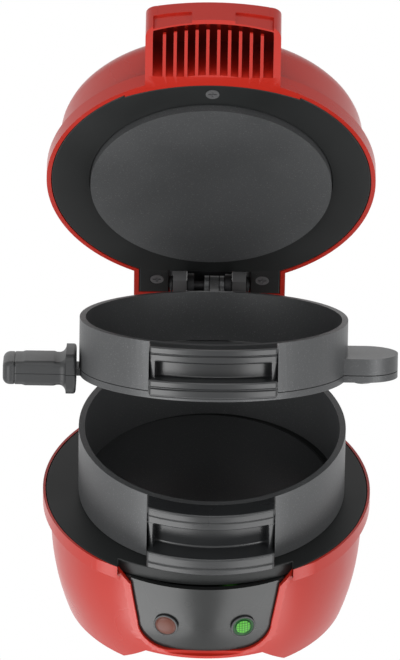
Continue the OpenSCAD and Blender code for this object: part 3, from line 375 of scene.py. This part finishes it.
def even_shading(obj):
    """Lets the large faces rule the normals, so that flat faces look flat beside round edges."""
    weighted = obj.modifiers.new("even shading", "WEIGHTED_NORMAL")
    weighted.mode = "FACE_AREA"
    weighted.weight = 60
    weighted.keep_sharp = True


# Shapes of this object's own pieces

def smooth(t):
    """Smooth step: 0 below 0, 1 above 1, 3 t^2 - 2 t^3 between."""
    t = np.clip(t, 0, 1)
    return t * t * (3 - 2 * t)


def ring_bar(shell, x, sections):
    """Bar round the ring axis: a section's (r, z) at x lies at (x, -sqrt(r^2 - x^2), z)."""
    r, z = sections[..., 0], sections[..., 1]
    across = np.broadcast_to(x[:, None], r.shape)
    p = np.stack([across, -np.sqrt(r * r - across * across), z], -1)
    return shell.grid(p, wrap_v=True, caps=True)


def arc_block(section, x0, x1, columns=40):
    """Bar round the ring axis with one (r, z) section between two places along X."""
    section = np.array(section, float)
    x = np.linspace(x0, x1, columns)
    return ring_bar(Shell(), x, np.repeat(section[None], columns, 0))


def with_groove(profile, radius, level, width, depth):
    """Profile corners with a small V groove cut where an upright face passes a level."""
    out = []
    for i, (r, z) in enumerate(profile):
        out.append((r, z))
        r1, z1 = profile[(i + 1) % len(profile)]
        upright = abs(r - radius) < 1e-6 and abs(r1 - radius) < 1e-6
        if upright and z + width < level < z1 - width:
            out += [(r, level - width / 2), (r - depth, level - width * 0.1),
                    (r - depth, level + width * 0.1), (r, level + width / 2)]
    return out


def ring_handle(node, body, z0, z1, lip, chamfer, low_groove, high_groove):
    """Finger grip of a ring between two levels, as one (r, z) section carried along X.

    Towards the sides the recess fills up: r = r + w (top lip's radius - r), where w is a smooth
    step of |x| over the side walls. At the two ends the section shrinks by a quarter circle.
    """
    edge_round = 0.9
    groove_round = 0.12
    floor = z0 + chamfer + lip
    roof = z1 - lip
    corners = [
        (GRIP_IN_R, z0), (GRIP_LOW_R - 1.25 * chamfer, z0), (GRIP_LOW_R, z0 + chamfer),
        (GRIP_LOW_R, floor), (GRIP_RECESS_R, floor), (GRIP_RECESS_R, roof),
        (GRIP_TOP_R, roof), (GRIP_TOP_R, z1), (GRIP_IN_R, z1)]
    corners = with_groove(corners, GRIP_LOW_R, low_groove, width=1.3, depth=0.6)
    corners = with_groove(corners, GRIP_TOP_R, high_groove, width=0.9, depth=0.45)
    radii = []
    for r, z in corners:
        edge = z in (z0, z1) or abs(z - floor) < 1e-6 or abs(z - roof) < 1e-6 or (
            abs(z - z0 - chamfer) < 1e-6)
        if r == GRIP_IN_R:
            radii.append(0.0)
        else:
            radii.append(edge_round if edge else groove_round)
    section = counter_clockwise(fillet(corners, radii))
    normal = outward(section)
    inner = section[:, 0] < GRIP_IN_R + 0.4
    in_recess = (section[:, 0] < GRIP_TOP_R) & (section[:, 1] > floor - 0.5) & (
        section[:, 1] < roof + 0.5) & ~inner
    q = np.linspace(0, np.pi / 2, 6)
    end_from = GRIP_HALF - GRIP_END_ROUND
    wall_from = GRIP_HALF - GRIP_SIDE - GRIP_WALL_RAMP
    end_x = end_from + GRIP_END_ROUND * np.sin(q)
    wall_x = np.linspace(wall_from, end_from, 9)[:-1]
    mid_x = np.linspace(0, wall_from, 26)[:-1]
    half = np.concatenate([mid_x, wall_x, end_x])
    x = np.concatenate([-half[:0:-1], half])
    past = np.maximum(np.abs(x) - end_from, 0)
    inset = GRIP_END_ROUND - np.sqrt(np.maximum(GRIP_END_ROUND ** 2 - past ** 2, 0))
    fill = smooth((np.abs(x) - wall_from) / GRIP_WALL_RAMP)
    s = np.repeat(section[None], len(x), 0)
    lift = (GRIP_TOP_R - s[..., 0]) * fill[:, None]
    s[..., 0] += np.where(in_recess[None], lift, 0)
    s -= np.where(inner[None, :, None], 0, inset[:, None, None] * normal[None])
    shell = ring_bar(Shell(), x, s)
    holes = [upright_rod(
        GRIP_HOLE_R, side * GRIP_SCREW_X, -GRIP_SCREW_Y, z0 - 1, z0 + GRIP_HOLE_DEPTH)
        for side in (-1, 1)]
    name = node + "_finished"
    mesh = bpy.data.meshes.new(name)
    mesh.from_pydata(place(np.concatenate(shell.points), body).tolist(), [], shell.faces)
    bm = bmesh.new()
    bm.from_mesh(mesh)
    bmesh.ops.recalc_face_normals(bm, faces=bm.faces)
    bm.to_mesh(mesh)
    bm.free()
    mesh = carved(mesh, holes, body)
    even_shading(finish_piece(name, mesh, body, (node,), BLACK, 38))


def grip_sections(x, half_w, half_h, corner, count=7):
    """Rounded rectangles in the YZ plane, one for each x: half sizes and corner radius by x."""
    q = np.linspace(0, np.pi / 2, count)
    quarter = np.stack([np.cos(q), np.sin(q)], 1)
    sign = np.array([(1, 1), (-1, 1), (-1, -1), (1, -1)])
    rows = []
    for k in range(4):
        arc = quarter if k % 2 == 0 else quarter[::-1]
        centre_y = sign[k, 0] * (half_w - corner)
        centre_z = sign[k, 1] * (half_h - corner)
        rows.append(np.stack([
            centre_y[:, None] + sign[k, 0] * corner[:, None] * arc[:, 0],
            centre_z[:, None] + sign[k, 1] * corner[:, None] * arc[:, 1]], -1))
    return np.concatenate(rows, 1)


def grip_shell(x, half_w, half_h, corner, z_low=-math.inf, z_high=math.inf):
    """Plate handle's stretch: sections along X, pressed flat at a lowest and a highest level."""
    section = grip_sections(x, half_w, half_h, corner)
    section[..., 1] = np.clip(section[..., 1], z_low, z_high)
    across = np.broadcast_to(-x[:, None], section.shape[:2])
    p = np.stack([across, section[..., 0], section[..., 1] + PARTING_Z], -1)
    return Shell().grid(p, wrap_v=True, caps=True)


def plate_grip_half(x):
    """Half sizes of the plate handle at a distance x from the ring axis.

    Near the guard the grip flares along a quarter circle, the guard's rim is rounded by another,
    and over a raised pad the height grows by a smooth step.
    """
    flare = np.clip((FLARE_END_X - x) / FLARE, 0, 1)
    flare = 1 - np.sqrt(1 - flare ** 2)
    rim = np.minimum(x - GUARD_X, GUARD_ROUND)
    rim_in = GUARD_ROUND - np.sqrt(np.maximum(GUARD_ROUND ** 2 - (GUARD_ROUND - rim) ** 2, 0))
    pad = smooth((x - PAD_FROM_X) / PAD_RAMP) * smooth((PAD_TO_X - x) / PAD_RAMP) * PAD_RISE
    half_w = PLATE_GRIP_W + GUARD_EXTRA_W * flare - rim_in
    half_h = PLATE_GRIP_H + GUARD_EXTRA_H * flare - rim_in + pad
    return half_w, half_h


def plate_handle():
    """Two halves that meet at a fine parting groove, and the end cap beyond its own seam.

    At the seam both sides shrink by a smooth step, and the cap closes over a quarter circle.
    """
    parting_half = 0.09
    seam_reach = 0.3
    seam_depth = 0.25
    near_seam = np.array([0.04, 0.12, 0.35])
    x = np.concatenate([
        np.linspace(GUARD_X, GUARD_X + GUARD_ROUND, 7), np.linspace(57.8, 60.2, 5),
        np.linspace(60.4, 63.4, 13), np.linspace(PAD_FROM_X, 78.6, 38),
        np.linspace(79.4, SEAM_X - near_seam[2], 4), SEAM_X - near_seam[1::-1]])
    close = seam_depth * smooth((x - SEAM_X + seam_reach) / seam_reach)
    half_w, half_h = plate_grip_half(x)
    corner = PLATE_GRIP_CORNER + 1.4 * np.clip((FLARE_END_X - x) / FLARE, 0, 1)
    for node, low, high in (
            ("plate_handle_top", parting_half, math.inf),
            ("plate_handle_bottom", -math.inf, -parting_half)):
        shell = grip_shell(x, half_w - close, half_h - close, corner, low, high)
        piece(node + "_finished", shell, "cooking_plate", (node,), GRIP, 40)
    turn = np.linspace(0, np.pi / 2, 12)
    cap_x = np.concatenate([SEAM_X + near_seam, TIP_X - TIP_ROUND + TIP_ROUND * np.sin(turn)])
    past = np.maximum(cap_x - TIP_X + TIP_ROUND, 0)
    shrink = TIP_ROUND - np.sqrt(np.maximum(TIP_ROUND ** 2 - past ** 2, 0))
    close = seam_depth * smooth((SEAM_X + seam_reach - cap_x) / seam_reach)
    corner = np.clip(PLATE_GRIP_CORNER - 0.4 * shrink, 0.9, PLATE_GRIP_CORNER)
    half_w = PLATE_GRIP_W - 1.5 * shrink - close
    half_h = PLATE_GRIP_H - 0.75 * shrink - close
    piece("plate_handle_end_cap_finished", grip_shell(cap_x, half_w, half_h, corner),
          "cooking_plate", ("plate_handle_end_cap",), GRIP, 40)


def body_r(z):
    """Radius of the base: it narrows from under the rim with a power of the depth."""
    depth = np.clip((BODY_TOP_Z - z) / (BODY_TOP_Z - FOOT_OUT), 0, 1.05)
    return BODY_TOP_R - BASE_TAPER * depth ** TAPER_POWER


def panel_border():
    """Solid that cuts the sloping border round the control panel's opening.

    Its sections follow the opening's outline: out = outline grown by g, depth = R behind the
    body's own surface, from well outside the housing to the foot of the slope.
    """
    q = np.linspace(0, np.pi / 2, 14)
    corner_z = PANEL_LOW_Z + PANEL_CORNER_R
    side_z = np.linspace(DECK_H + 3, PANEL_TOP_Z, 6)[:-1]
    slope = np.linspace(0, 1, 12)[:-1]
    right = np.concatenate([
        np.stack([np.full(5, PANEL_TOP_HALF), side_z], 1),
        np.stack([PANEL_TOP_HALF + (PANEL_LOW_HALF - PANEL_TOP_HALF) * slope,
                  PANEL_TOP_Z + (corner_z - PANEL_TOP_Z) * slope], 1),
        np.stack([PANEL_LOW_HALF - PANEL_CORNER_R + PANEL_CORNER_R * np.cos(q),
                  corner_z - PANEL_CORNER_R * np.sin(q)], 1)])
    outline = np.concatenate([right, right[::-1] * (-1, 1)])
    outline = counter_clockwise(outline)
    normal = outward(outline)
    width = BORDER_LOW_W + BORDER_EXTRA_W * smooth((outline[:, 1] - PANEL_LOW_Z) / BORDER_RISE)
    # Share of the border's width, or mm inside the outline where negative, and mm off the body
    levels = [(1.3, 4.0), (1.0, 0.02), (0.2, -0.5), (0.03, -1.7), (-0.8, -1.75)]
    rows = []
    for grow, radial in levels:
        flat = outline + normal * (np.maximum(grow, 0) * width)[:, None] + normal * min(grow, 0)
        r = body_r(np.minimum(flat[:, 1], BODY_TOP_Z)) + radial
        rows.append(np.stack([flat[:, 0], -np.sqrt(r * r - flat[:, 0] ** 2), flat[:, 1]], 1))
    return Shell().grid(np.stack(rows), wrap_v=True, caps=True)


def rim_taper(side):
    """Solid that lets the rim's overhang run out towards the notch in the front.

    Its inner radius is the body's below the deck and just outside the deck beside it, and grows
    past the rim's by a smooth step of |x|.
    """
    x = side * np.linspace(RIM_RUN_OUT_X - 1, RIM_RUN_OUT_X + RIM_RUN_OUT + 1, 46)
    grow = smooth((np.abs(x) - RIM_RUN_OUT_X) / RIM_RUN_OUT)[:, None]
    past = 0.3
    low = BODY_TOP_R - 0.02 + (RIM_R + past - BODY_TOP_R) * grow
    high = DECK_R + past + (RIM_R - DECK_R) * grow
    out = 0 * grow + RIM_R + 3
    r = np.concatenate([low, out, out, high, high, low], 1)
    bottom, top = RIM_LOW_Z - 2, DECK_H + 1
    levels = np.array([bottom, bottom, top, top, RIM_LOW_Z + 0.05, RIM_LOW_Z])
    z = np.broadcast_to(levels, r.shape)
    return ring_bar(Shell(), x, np.stack([r, z], -1))


def at_lamp(points, side):
    """Points drawn round a light's axis, +Z outward from the ring axis, to the base's frame."""
    a = math.radians(side * LAMP_ANGLE)
    x, y, z = points[..., 0], -points[..., 2], points[..., 1] + LAMP_Z
    return np.stack([x * math.cos(a) - y * math.sin(a), x * math.sin(a) + y * math.cos(a), z], -1)


def lamp_parts():
    """Bezels, and lenses with a sloping collar round a low dome.

    The dome's height is h sqrt(1 - (r / R)^2). The lit lens is cast with small square facets,
    which rise by a product of two cosines.
    """
    bezels = Shell()
    face = LAMP_FACE_R + 0.5
    for side in (-1, 1):
        bore_r = LENS_R + 0.03
        ring = fillet(
            [(bore_r, face - 5), (BEZEL_TUBE_R, face - 5), (BEZEL_TUBE_R, face),
             (BEZEL_R, face), (BEZEL_R, face + 0.9), (bore_r, face + 0.75)],
            [0, 0, 0.1, 0.1, 0.45, 0.15])
        t = np.linspace(0, 2 * np.pi, 96, endpoint=False)[:, None]
        p = np.stack([ring[:, 0] * np.cos(t), ring[:, 0] * np.sin(t), ring[:, 1] + 0 * t], -1)
        bezels.grid(at_lamp(p, side), wrap_u=True, wrap_v=True)
    piece("lamp_bezels_finished", bezels, "base", ("lamp_bezels",), BLACK, 50)
    seat = face + 0.55
    dome_rise = 0.85
    facet_pitch = 0.9
    for side, node, slot, collar, dome_material, dome_r, facets in (
            (-1, "power_lens", "red_lens", RED_LENS, RED_LENS, 3.9, 0.0),
            (1, "preheat_lens", "green_lens", GREEN_COLLAR, GREEN_LENS, 3.1, 0.05)):
        # Skirt, shoulder, chamfer, and the two edges of the sloping collar
        collar_r = [LENS_R, LENS_R, LENS_R - 0.15, LENS_R - 0.4, dome_r + 0.1]
        inward = dome_r * np.cos(np.linspace(0, np.pi / 2, 34))[:-1]
        r = np.concatenate([collar_r, inward, [0.02]])
        z = seat + dome_rise * np.sqrt(np.maximum(1 - (r / (dome_r + 0.05)) ** 2, 0))
        z[0] = face - 1.2
        z[2] += 0.1
        z[4] -= 0.25
        t = np.linspace(0, 2 * np.pi, 128, endpoint=False)
        x = r[:, None] * np.cos(t)
        y = r[:, None] * np.sin(t)
        up = np.repeat(z[:, None], len(t), 1)
        wave = facets * np.cos(x * 2 * np.pi / facet_pitch) * np.cos(y * 2 * np.pi / facet_pitch)
        up = up + np.where(r[:, None] < dome_r - 0.2, wave, 0)
        p = at_lamp(np.stack([x, y, up], -1), side)
        shell = Shell().grid(p, wrap_v=True, caps=True)
        mesh = piece(node + "_finished", shell, "base", (node,), collar, 60).data
        mesh.materials.append(dome_material)
        middle = place(at_lamp(np.array([[0.0, 0.0, face + 1.0]]), side), "base")[0]
        for polygon in mesh.polygons:
            off = np.linalg.norm(np.array(polygon.center) - middle) / MM
            polygon.material_index = 1 if off < dome_r - 0.02 else 0


# Materials

def noise(nodes, links, coordinates, scale, detail=2.0):
    """Soft noise of about scale bumps per metre, as a value round 0.5."""
    n = nodes.new("ShaderNodeTexNoise")
    n.inputs["Scale"].default_value = scale
    n.inputs["Detail"].default_value = detail
    links.new(coordinates, n.inputs["Vector"])
    return n.outputs["Fac"]


def ramp(nodes, links, value, low, high, out_low, out_high):
    """Straight ramp from out_low at low to out_high at high, held level beyond both."""
    r = nodes.new("ShaderNodeMapRange")
    r.inputs["From Min"].default_value = low
    r.inputs["From Max"].default_value = high
    r.inputs["To Min"].default_value = out_low
    r.inputs["To Max"].default_value = out_high
    links.new(value, r.inputs["Value"])
    return r.outputs["Result"]


def finish(name, colour, rough, grain=900.0, bump=0.02, mottle=0.08, metallic=0.0, coat=0.0,
           specular=0.5, fleck=0.0):
    """Moulded or coated surface: a base colour with soft mottling, fine grain and uneven gloss.

    grain is the grain's frequency per metre, mottle the share by which the colour varies,
    fleck the strength of small bright flecks, as in a non-stick coat.
    """
    patches_per_metre = 28.0
    gloss_spread = 0.06
    grain_depth = 0.0001
    m = bpy.data.materials.new(name)
    m.use_nodes = True
    nodes, links = m.node_tree.nodes, m.node_tree.links
    shader = nodes["Principled BSDF"]
    where = nodes.new("ShaderNodeTexCoord").outputs["Object"]
    patch = noise(nodes, links, where, patches_per_metre, 3.0)
    fine = noise(nodes, links, where, grain)
    mix = nodes.new("ShaderNodeMix")
    mix.data_type = "RGBA"
    mix.inputs["A"].default_value = (*[c * (1 - mottle) for c in colour], 1)
    mix.inputs["B"].default_value = (*[min(1, c * (1 + mottle)) for c in colour], 1)
    links.new(patch, mix.inputs["Factor"])
    result = mix.outputs["Result"]
    if fleck:
        speck = noise(nodes, links, where, grain * 0.8, 1.0)
        spots = ramp(nodes, links, speck, 0.62, 0.72, 0.0, 1.0)
        add = nodes.new("ShaderNodeMix")
        add.data_type = "RGBA"
        links.new(spots, add.inputs["Factor"])
        links.new(result, add.inputs["A"])
        add.inputs["B"].default_value = (*[min(1, c + fleck) for c in colour], 1)
        result = add.outputs["Result"]
    links.new(result, shader.inputs["Base Color"])
    links.new(ramp(nodes, links, patch, 0.3, 0.7, rough - gloss_spread, rough + gloss_spread),
              shader.inputs["Roughness"])
    shader.inputs["Metallic"].default_value = metallic
    shader.inputs["Coat Weight"].default_value = coat
    shader.inputs["Coat Roughness"].default_value = 0.2
    shader.inputs["Specular IOR Level"].default_value = specular
    b = nodes.new("ShaderNodeBump")
    b.inputs["Strength"].default_value = bump
    b.inputs["Distance"].default_value = grain_depth
    links.new(fine, b.inputs["Height"])
    links.new(b.outputs["Normal"], shader.inputs["Normal"])
    return m


def lens_material(name, colour, glow, grid=0.0):
    """Clear coloured plastic over a lamp, with the lamp's glow broken up by the cast facets.

    grid is the pitch of the facets in metres: two crossed sine bands darken the glow between them.
    """
    m = bpy.data.materials.new(name)
    m.use_nodes = True
    nodes, links = m.node_tree.nodes, m.node_tree.links
    shader = nodes["Principled BSDF"]
    where = nodes.new("ShaderNodeTexCoord").outputs["Object"]
    cast = noise(nodes, links, where, 420.0)
    if grid:
        bands = []
        for direction in "XZ":
            wave = nodes.new("ShaderNodeTexWave")
            wave.bands_direction = direction
            wave.inputs["Scale"].default_value = 2 * math.pi / (20 * grid)
            links.new(where, wave.inputs["Vector"])
            bands.append(ramp(nodes, links, wave.outputs["Fac"], 0.1, 0.45, 0.25, 1.0))
        product = nodes.new("ShaderNodeMath")
        product.operation = "MULTIPLY"
        links.new(bands[0], product.inputs[0])
        links.new(bands[1], product.inputs[1])
        cast = product.outputs["Value"]
    mix = nodes.new("ShaderNodeMix")
    mix.data_type = "RGBA"
    mix.inputs["A"].default_value = (*[c * (0.25 if grid else 0.8) for c in colour], 1)
    mix.inputs["B"].default_value = (*[min(1, c * 1.15) for c in colour], 1)
    links.new(cast, mix.inputs["Factor"])
    links.new(mix.outputs["Result"], shader.inputs["Base Color"])
    shader.inputs["Roughness"].default_value = 0.4
    shader.inputs["Specular IOR Level"].default_value = 0.35
    if glow:
        links.new(mix.outputs["Result"], shader.inputs["Emission Color"])
        shader.inputs["Emission Strength"].default_value = glow
    return m


RED = finish("red moulded plastic", (0.43, 0.018, 0.009), 0.30, grain=1500, bump=0.05,
             mottle=0.05, coat=0.1, specular=0.4)
BLACK = finish("black moulded plastic", (0.016, 0.017, 0.018), 0.30, grain=1800, bump=0.08,
               mottle=0.12, specular=0.5)
GRIP = finish("black grip plastic", (0.026, 0.027, 0.028), 0.45, grain=1800, bump=0.1,
              mottle=0.12, specular=0.4)
DULL = finish("dull black plastic", (0.008, 0.008, 0.009), 0.6, grain=1800, bump=0.1,
              specular=0.3)
DECK = finish("black deck plastic", (0.012, 0.013, 0.013), 0.42, grain=2200, bump=0.12, mottle=0.1,
              specular=0.22)
DARK_STEEL = finish("blackened steel", (0.26, 0.26, 0.265), 0.33, grain=1500, bump=0.05,
                    metallic=0.8)
PIN_STEEL = finish("black pin steel", (0.02, 0.02, 0.021), 0.55, grain=1500, bump=0.05,
                   metallic=0.5)
RED_LENS = lens_material("unlit red lens", (0.105, 0.030, 0.018), 0.0)
GREEN_LENS = lens_material("lit green lens", (0.050, 0.25, 0.020), 0.65, 0.0011)
GREEN_COLLAR = lens_material("green lens collar", (0.006, 0.060, 0.010), 0.0)
NEON = finish("neon glass", (0.75, 0.62, 0.5), 0.12, grain=800, bump=0.02, coat=0.4)
COAT = finish("non-stick coat", (0.064, 0.066, 0.068), 0.44, grain=2600, bump=0.18, mottle=0.1,
              metallic=0.25, fleck=0.05)
PANEL = finish("panel plastic", (0.020, 0.021, 0.021), 0.24, grain=2000, bump=0.05, mottle=0.06,
               metallic=0.3)
RUBBER = finish("foot rubber", (0.02, 0.02, 0.02), 0.8, grain=1200, bump=0.2)
STEEL = finish("plain steel", (0.55, 0.55, 0.54), 0.3, grain=1500, bump=0.04, metallic=1.0)
BRACKET = finish("coated bracket", (0.15, 0.15, 0.152), 0.5, grain=1600, bump=0.08, metallic=0.5)
ALU = finish("element sheath", (0.35, 0.35, 0.36), 0.45, grain=900, bump=0.08, metallic=0.9)
CERAMIC = finish("glazed ceramic", (0.72, 0.70, 0.64), 0.35, grain=600, bump=0.04)
SLEEVE = finish("woven sleeve", (0.60, 0.55, 0.42), 0.75, grain=2500, bump=0.4)

# CAD nodes that keep their own shape and only get a finish
PLAIN_NODES = {
    "lower_heating_element": ALU, "upper_heating_element": ALU,
    "lower_reflector": STEEL, "upper_reflector": STEEL,
    "thermostat": CERAMIC, "lower_thermal_fuse": CERAMIC, "upper_thermal_fuse": CERAMIC,
    "terminal_block": CERAMIC, "supply_wiring": SLEEVE, "lamp_wiring": SLEEVE,
    "lid_wiring": SLEEVE, "lamp_holder": BLACK, "neon_lamps": NEON,
    "lid_face_screws": DARK_STEEL, "bottom_ring_handle_screws": DARK_STEEL,
    "top_ring_handle_screws": DARK_STEEL, "plate_handle_screws": DARK_STEEL,
    "bottom_cover_screws": STEEL, "lower_plate_screws": STEEL, "upper_plate_screws": STEEL,
    "lamp_holder_screw": STEEL, "hinge_post_screws": STEEL, "swivel_stud": STEEL,
    "swivel_washer": STEEL,
}
for node, material in PLAIN_NODES.items():
    mesh = NODES[node].data
    mesh.materials.clear()
    mesh.materials.append(material)


# Camera: far away with a long lens, turned a little so that the picture leans as the photo does
CAMERA_HEIGHT = math.radians(35.125)
CAMERA_LEAN = math.radians(0.86)
CAMERA_X = -0.4
CAMERA_ABOVE_DECK = 65.2
CAMERA_FAR = 4335.0
UP = np.array([0.0, math.sin(CAMERA_HEIGHT), math.cos(CAMERA_HEIGHT)])
BACK = np.array([0.0, -math.cos(CAMERA_HEIGHT), math.sin(CAMERA_HEIGHT)])
eye = (np.array([CAMERA_X, HOME[1], DECK_H]) + CAMERA_ABOVE_DECK * UP + CAMERA_FAR * BACK) * MM
camera = bpy.data.objects.new("camera", bpy.data.cameras.new("camera"))
bpy.context.scene.collection.objects.link(camera)
camera.data.lens = 572.0
camera.data.clip_start = 0.1
camera.data.clip_end = 50.0
turn = Matrix(((1, 0, 0), (0, UP[1], UP[2]), (0, BACK[1], BACK[2]))).transposed()
camera.matrix_world = (
    Matrix.Translation(eye.tolist()) @ turn.to_4x4() @ Matrix.Rotation(CAMERA_LEAN, 4, "Z"))
bpy.context.scene.camera = camera


# Light: a dim even surround with softboxes, which the camera and reflections see as white
SURROUND = 0.26
world = bpy.data.worlds.new("studio")
bpy.context.scene.world = world
world.use_nodes = True
WORLD_NODES, WORLD_LINKS = world.node_tree.nodes, world.node_tree.links
WORLD_NODES["Background"].inputs["Color"].default_value = (1, 1, 1, 1)
path = WORLD_NODES.new("ShaderNodeLightPath")
seen = path.outputs["Is Camera Ray"]
for kind in ("Is Glossy Ray", "Is Transmission Ray"):
    either = WORLD_NODES.new("ShaderNodeMath")
    either.operation = "MAXIMUM"
    WORLD_LINKS.new(seen, either.inputs[0])
    WORLD_LINKS.new(path.outputs[kind], either.inputs[1])
    seen = either.outputs["Value"]
WORLD_LINKS.new(ramp(WORLD_NODES, WORLD_LINKS, seen, 0.0, 1.0, SURROUND, 1.0),
                WORLD_NODES["Background"].inputs["Strength"])


def softbox(name, place_m, aim_m, size, power):
    """Flat area light at a point in metres, turned to face another, with its power in watts."""
    data = bpy.data.lights.new(name, "AREA")
    data.shape = "RECTANGLE"
    data.size, data.size_y = size
    data.energy = power
    obj = bpy.data.objects.new(name, data)
    bpy.context.scene.collection.objects.link(obj)
    away = np.array(place_m) - np.array(aim_m)
    back = away / np.linalg.norm(away)
    right = np.cross([0, 0, 1], back)
    right = right / np.linalg.norm(right)
    up = np.cross(back, right)
    obj.matrix_world = Matrix.Translation(place_m) @ Matrix(
        (right.tolist(), up.tolist(), back.tolist())).transposed().to_4x4()
    return obj


softbox("top light", (0.0, -0.35, 1.5), (0, 0, 0.12), (1.2, 0.9), 6)
softbox("left light", (-1.0, -1.1, 0.38), (0, 0, 0.12), (0.9, 0.9), 14)
softbox("right light", (1.0, -1.1, 0.38), (0, 0, 0.12), (0.9, 0.9), 10)
softbox("low left light", (-0.58, -0.74, -0.70), (0, 0, 0.05), (0.85, 0.6), 6.2)
softbox("low right light", (0.58, -0.74, -0.70), (0, 0, 0.05), (0.85, 0.6), 4.7)

# Cuts in the lid's handle: the slot before the ribs, and the shallow steps of its front band
SLOT_SECTION = [(88.2, 4), (90.7, 4), (90.7, 9), (89.7, 13.9), (80.8, 13.9), (88.2, 8.1)]
STEP_SECTION = [(91.4, 2), (94, 2), (94, 14.1), (91.4, 14.1)]
HANDLE_CUTS = [
    arc_block(SLOT_SECTION, -SLOT_HALF, SLOT_HALF),
    arc_block(STEP_SECTION, -SLOT_HALF, -BAND_HALF),
    arc_block(STEP_SECTION, BAND_HALF, SLOT_HALF),
]

# Sides of the hinge post's rear shield, brought close to the lid's bars
SHIELD_FILLS = [
    upright_plate([(side * x, y) for x, y in (
        (SHIELD_X[0], SHIELD_Y[0]), (SHIELD_X[1], SHIELD_Y[0]),
        (SHIELD_X[1], SHIELD_Y[1]), (SHIELD_X[0], SHIELD_Y[1]))], *SHIELD_Z)
    for side in (-1, 1)]

# Pieces kept from the CAD model with rounded edges
softened("base_housing", "base", 0.7, RED,
         [panel_border(), rim_taper(-1), rim_taper(1)])
softened("base_deck", "base", 0.4, DECK)
softened("control_panel", "base", 0.4, PANEL)
softened("hinge_post", "base", 0.5, DULL, fills=SHIELD_FILLS)
softened("bottom_cover", "base", 0.4, BLACK)
softened("rubber_feet", "base", 0.4, RUBBER)
softened("cord_gland", "base", 0.5, RUBBER)
softened("lower_heating_plate", "base", 0.6, COAT)
softened("hinge_pin", "base", 0.3, PIN_STEEL)
softened("pin_clips", "base", 0.15, PIN_STEEL)
softened("bottom_ring", "bottom_ring", 0.5, COAT)
softened("top_ring", "top_ring", 0.5, COAT)
softened("swivel_nut", "top_ring", 0.2, DARK_STEEL)
softened("cooking_plate", "cooking_plate", 0.4, COAT)
softened("lid_housing", "lid", 0.6, RED, HANDLE_CUTS)
softened("lid_face_plate", "lid", 0.3, DECK)
softened("lid_hinge_bracket", "lid", 0.4, BRACKET)
softened("upper_heating_plate", "lid", 0.6, COAT)

# Pieces made as surfaces of their own
ring_handle("bottom_ring_handle", "bottom_ring", 0.6, 31.3, lip=7.5, chamfer=4.0,
            low_groove=7.4, high_groove=27.6)
ring_handle("top_ring_handle", "top_ring", 34.9, 55.0, lip=6.3, chamfer=0.8,
            low_groove=38.8, high_groove=51.9)
plate_handle()
lamp_parts()

bpy.context.scene.view_settings.view_transform = "Standard"
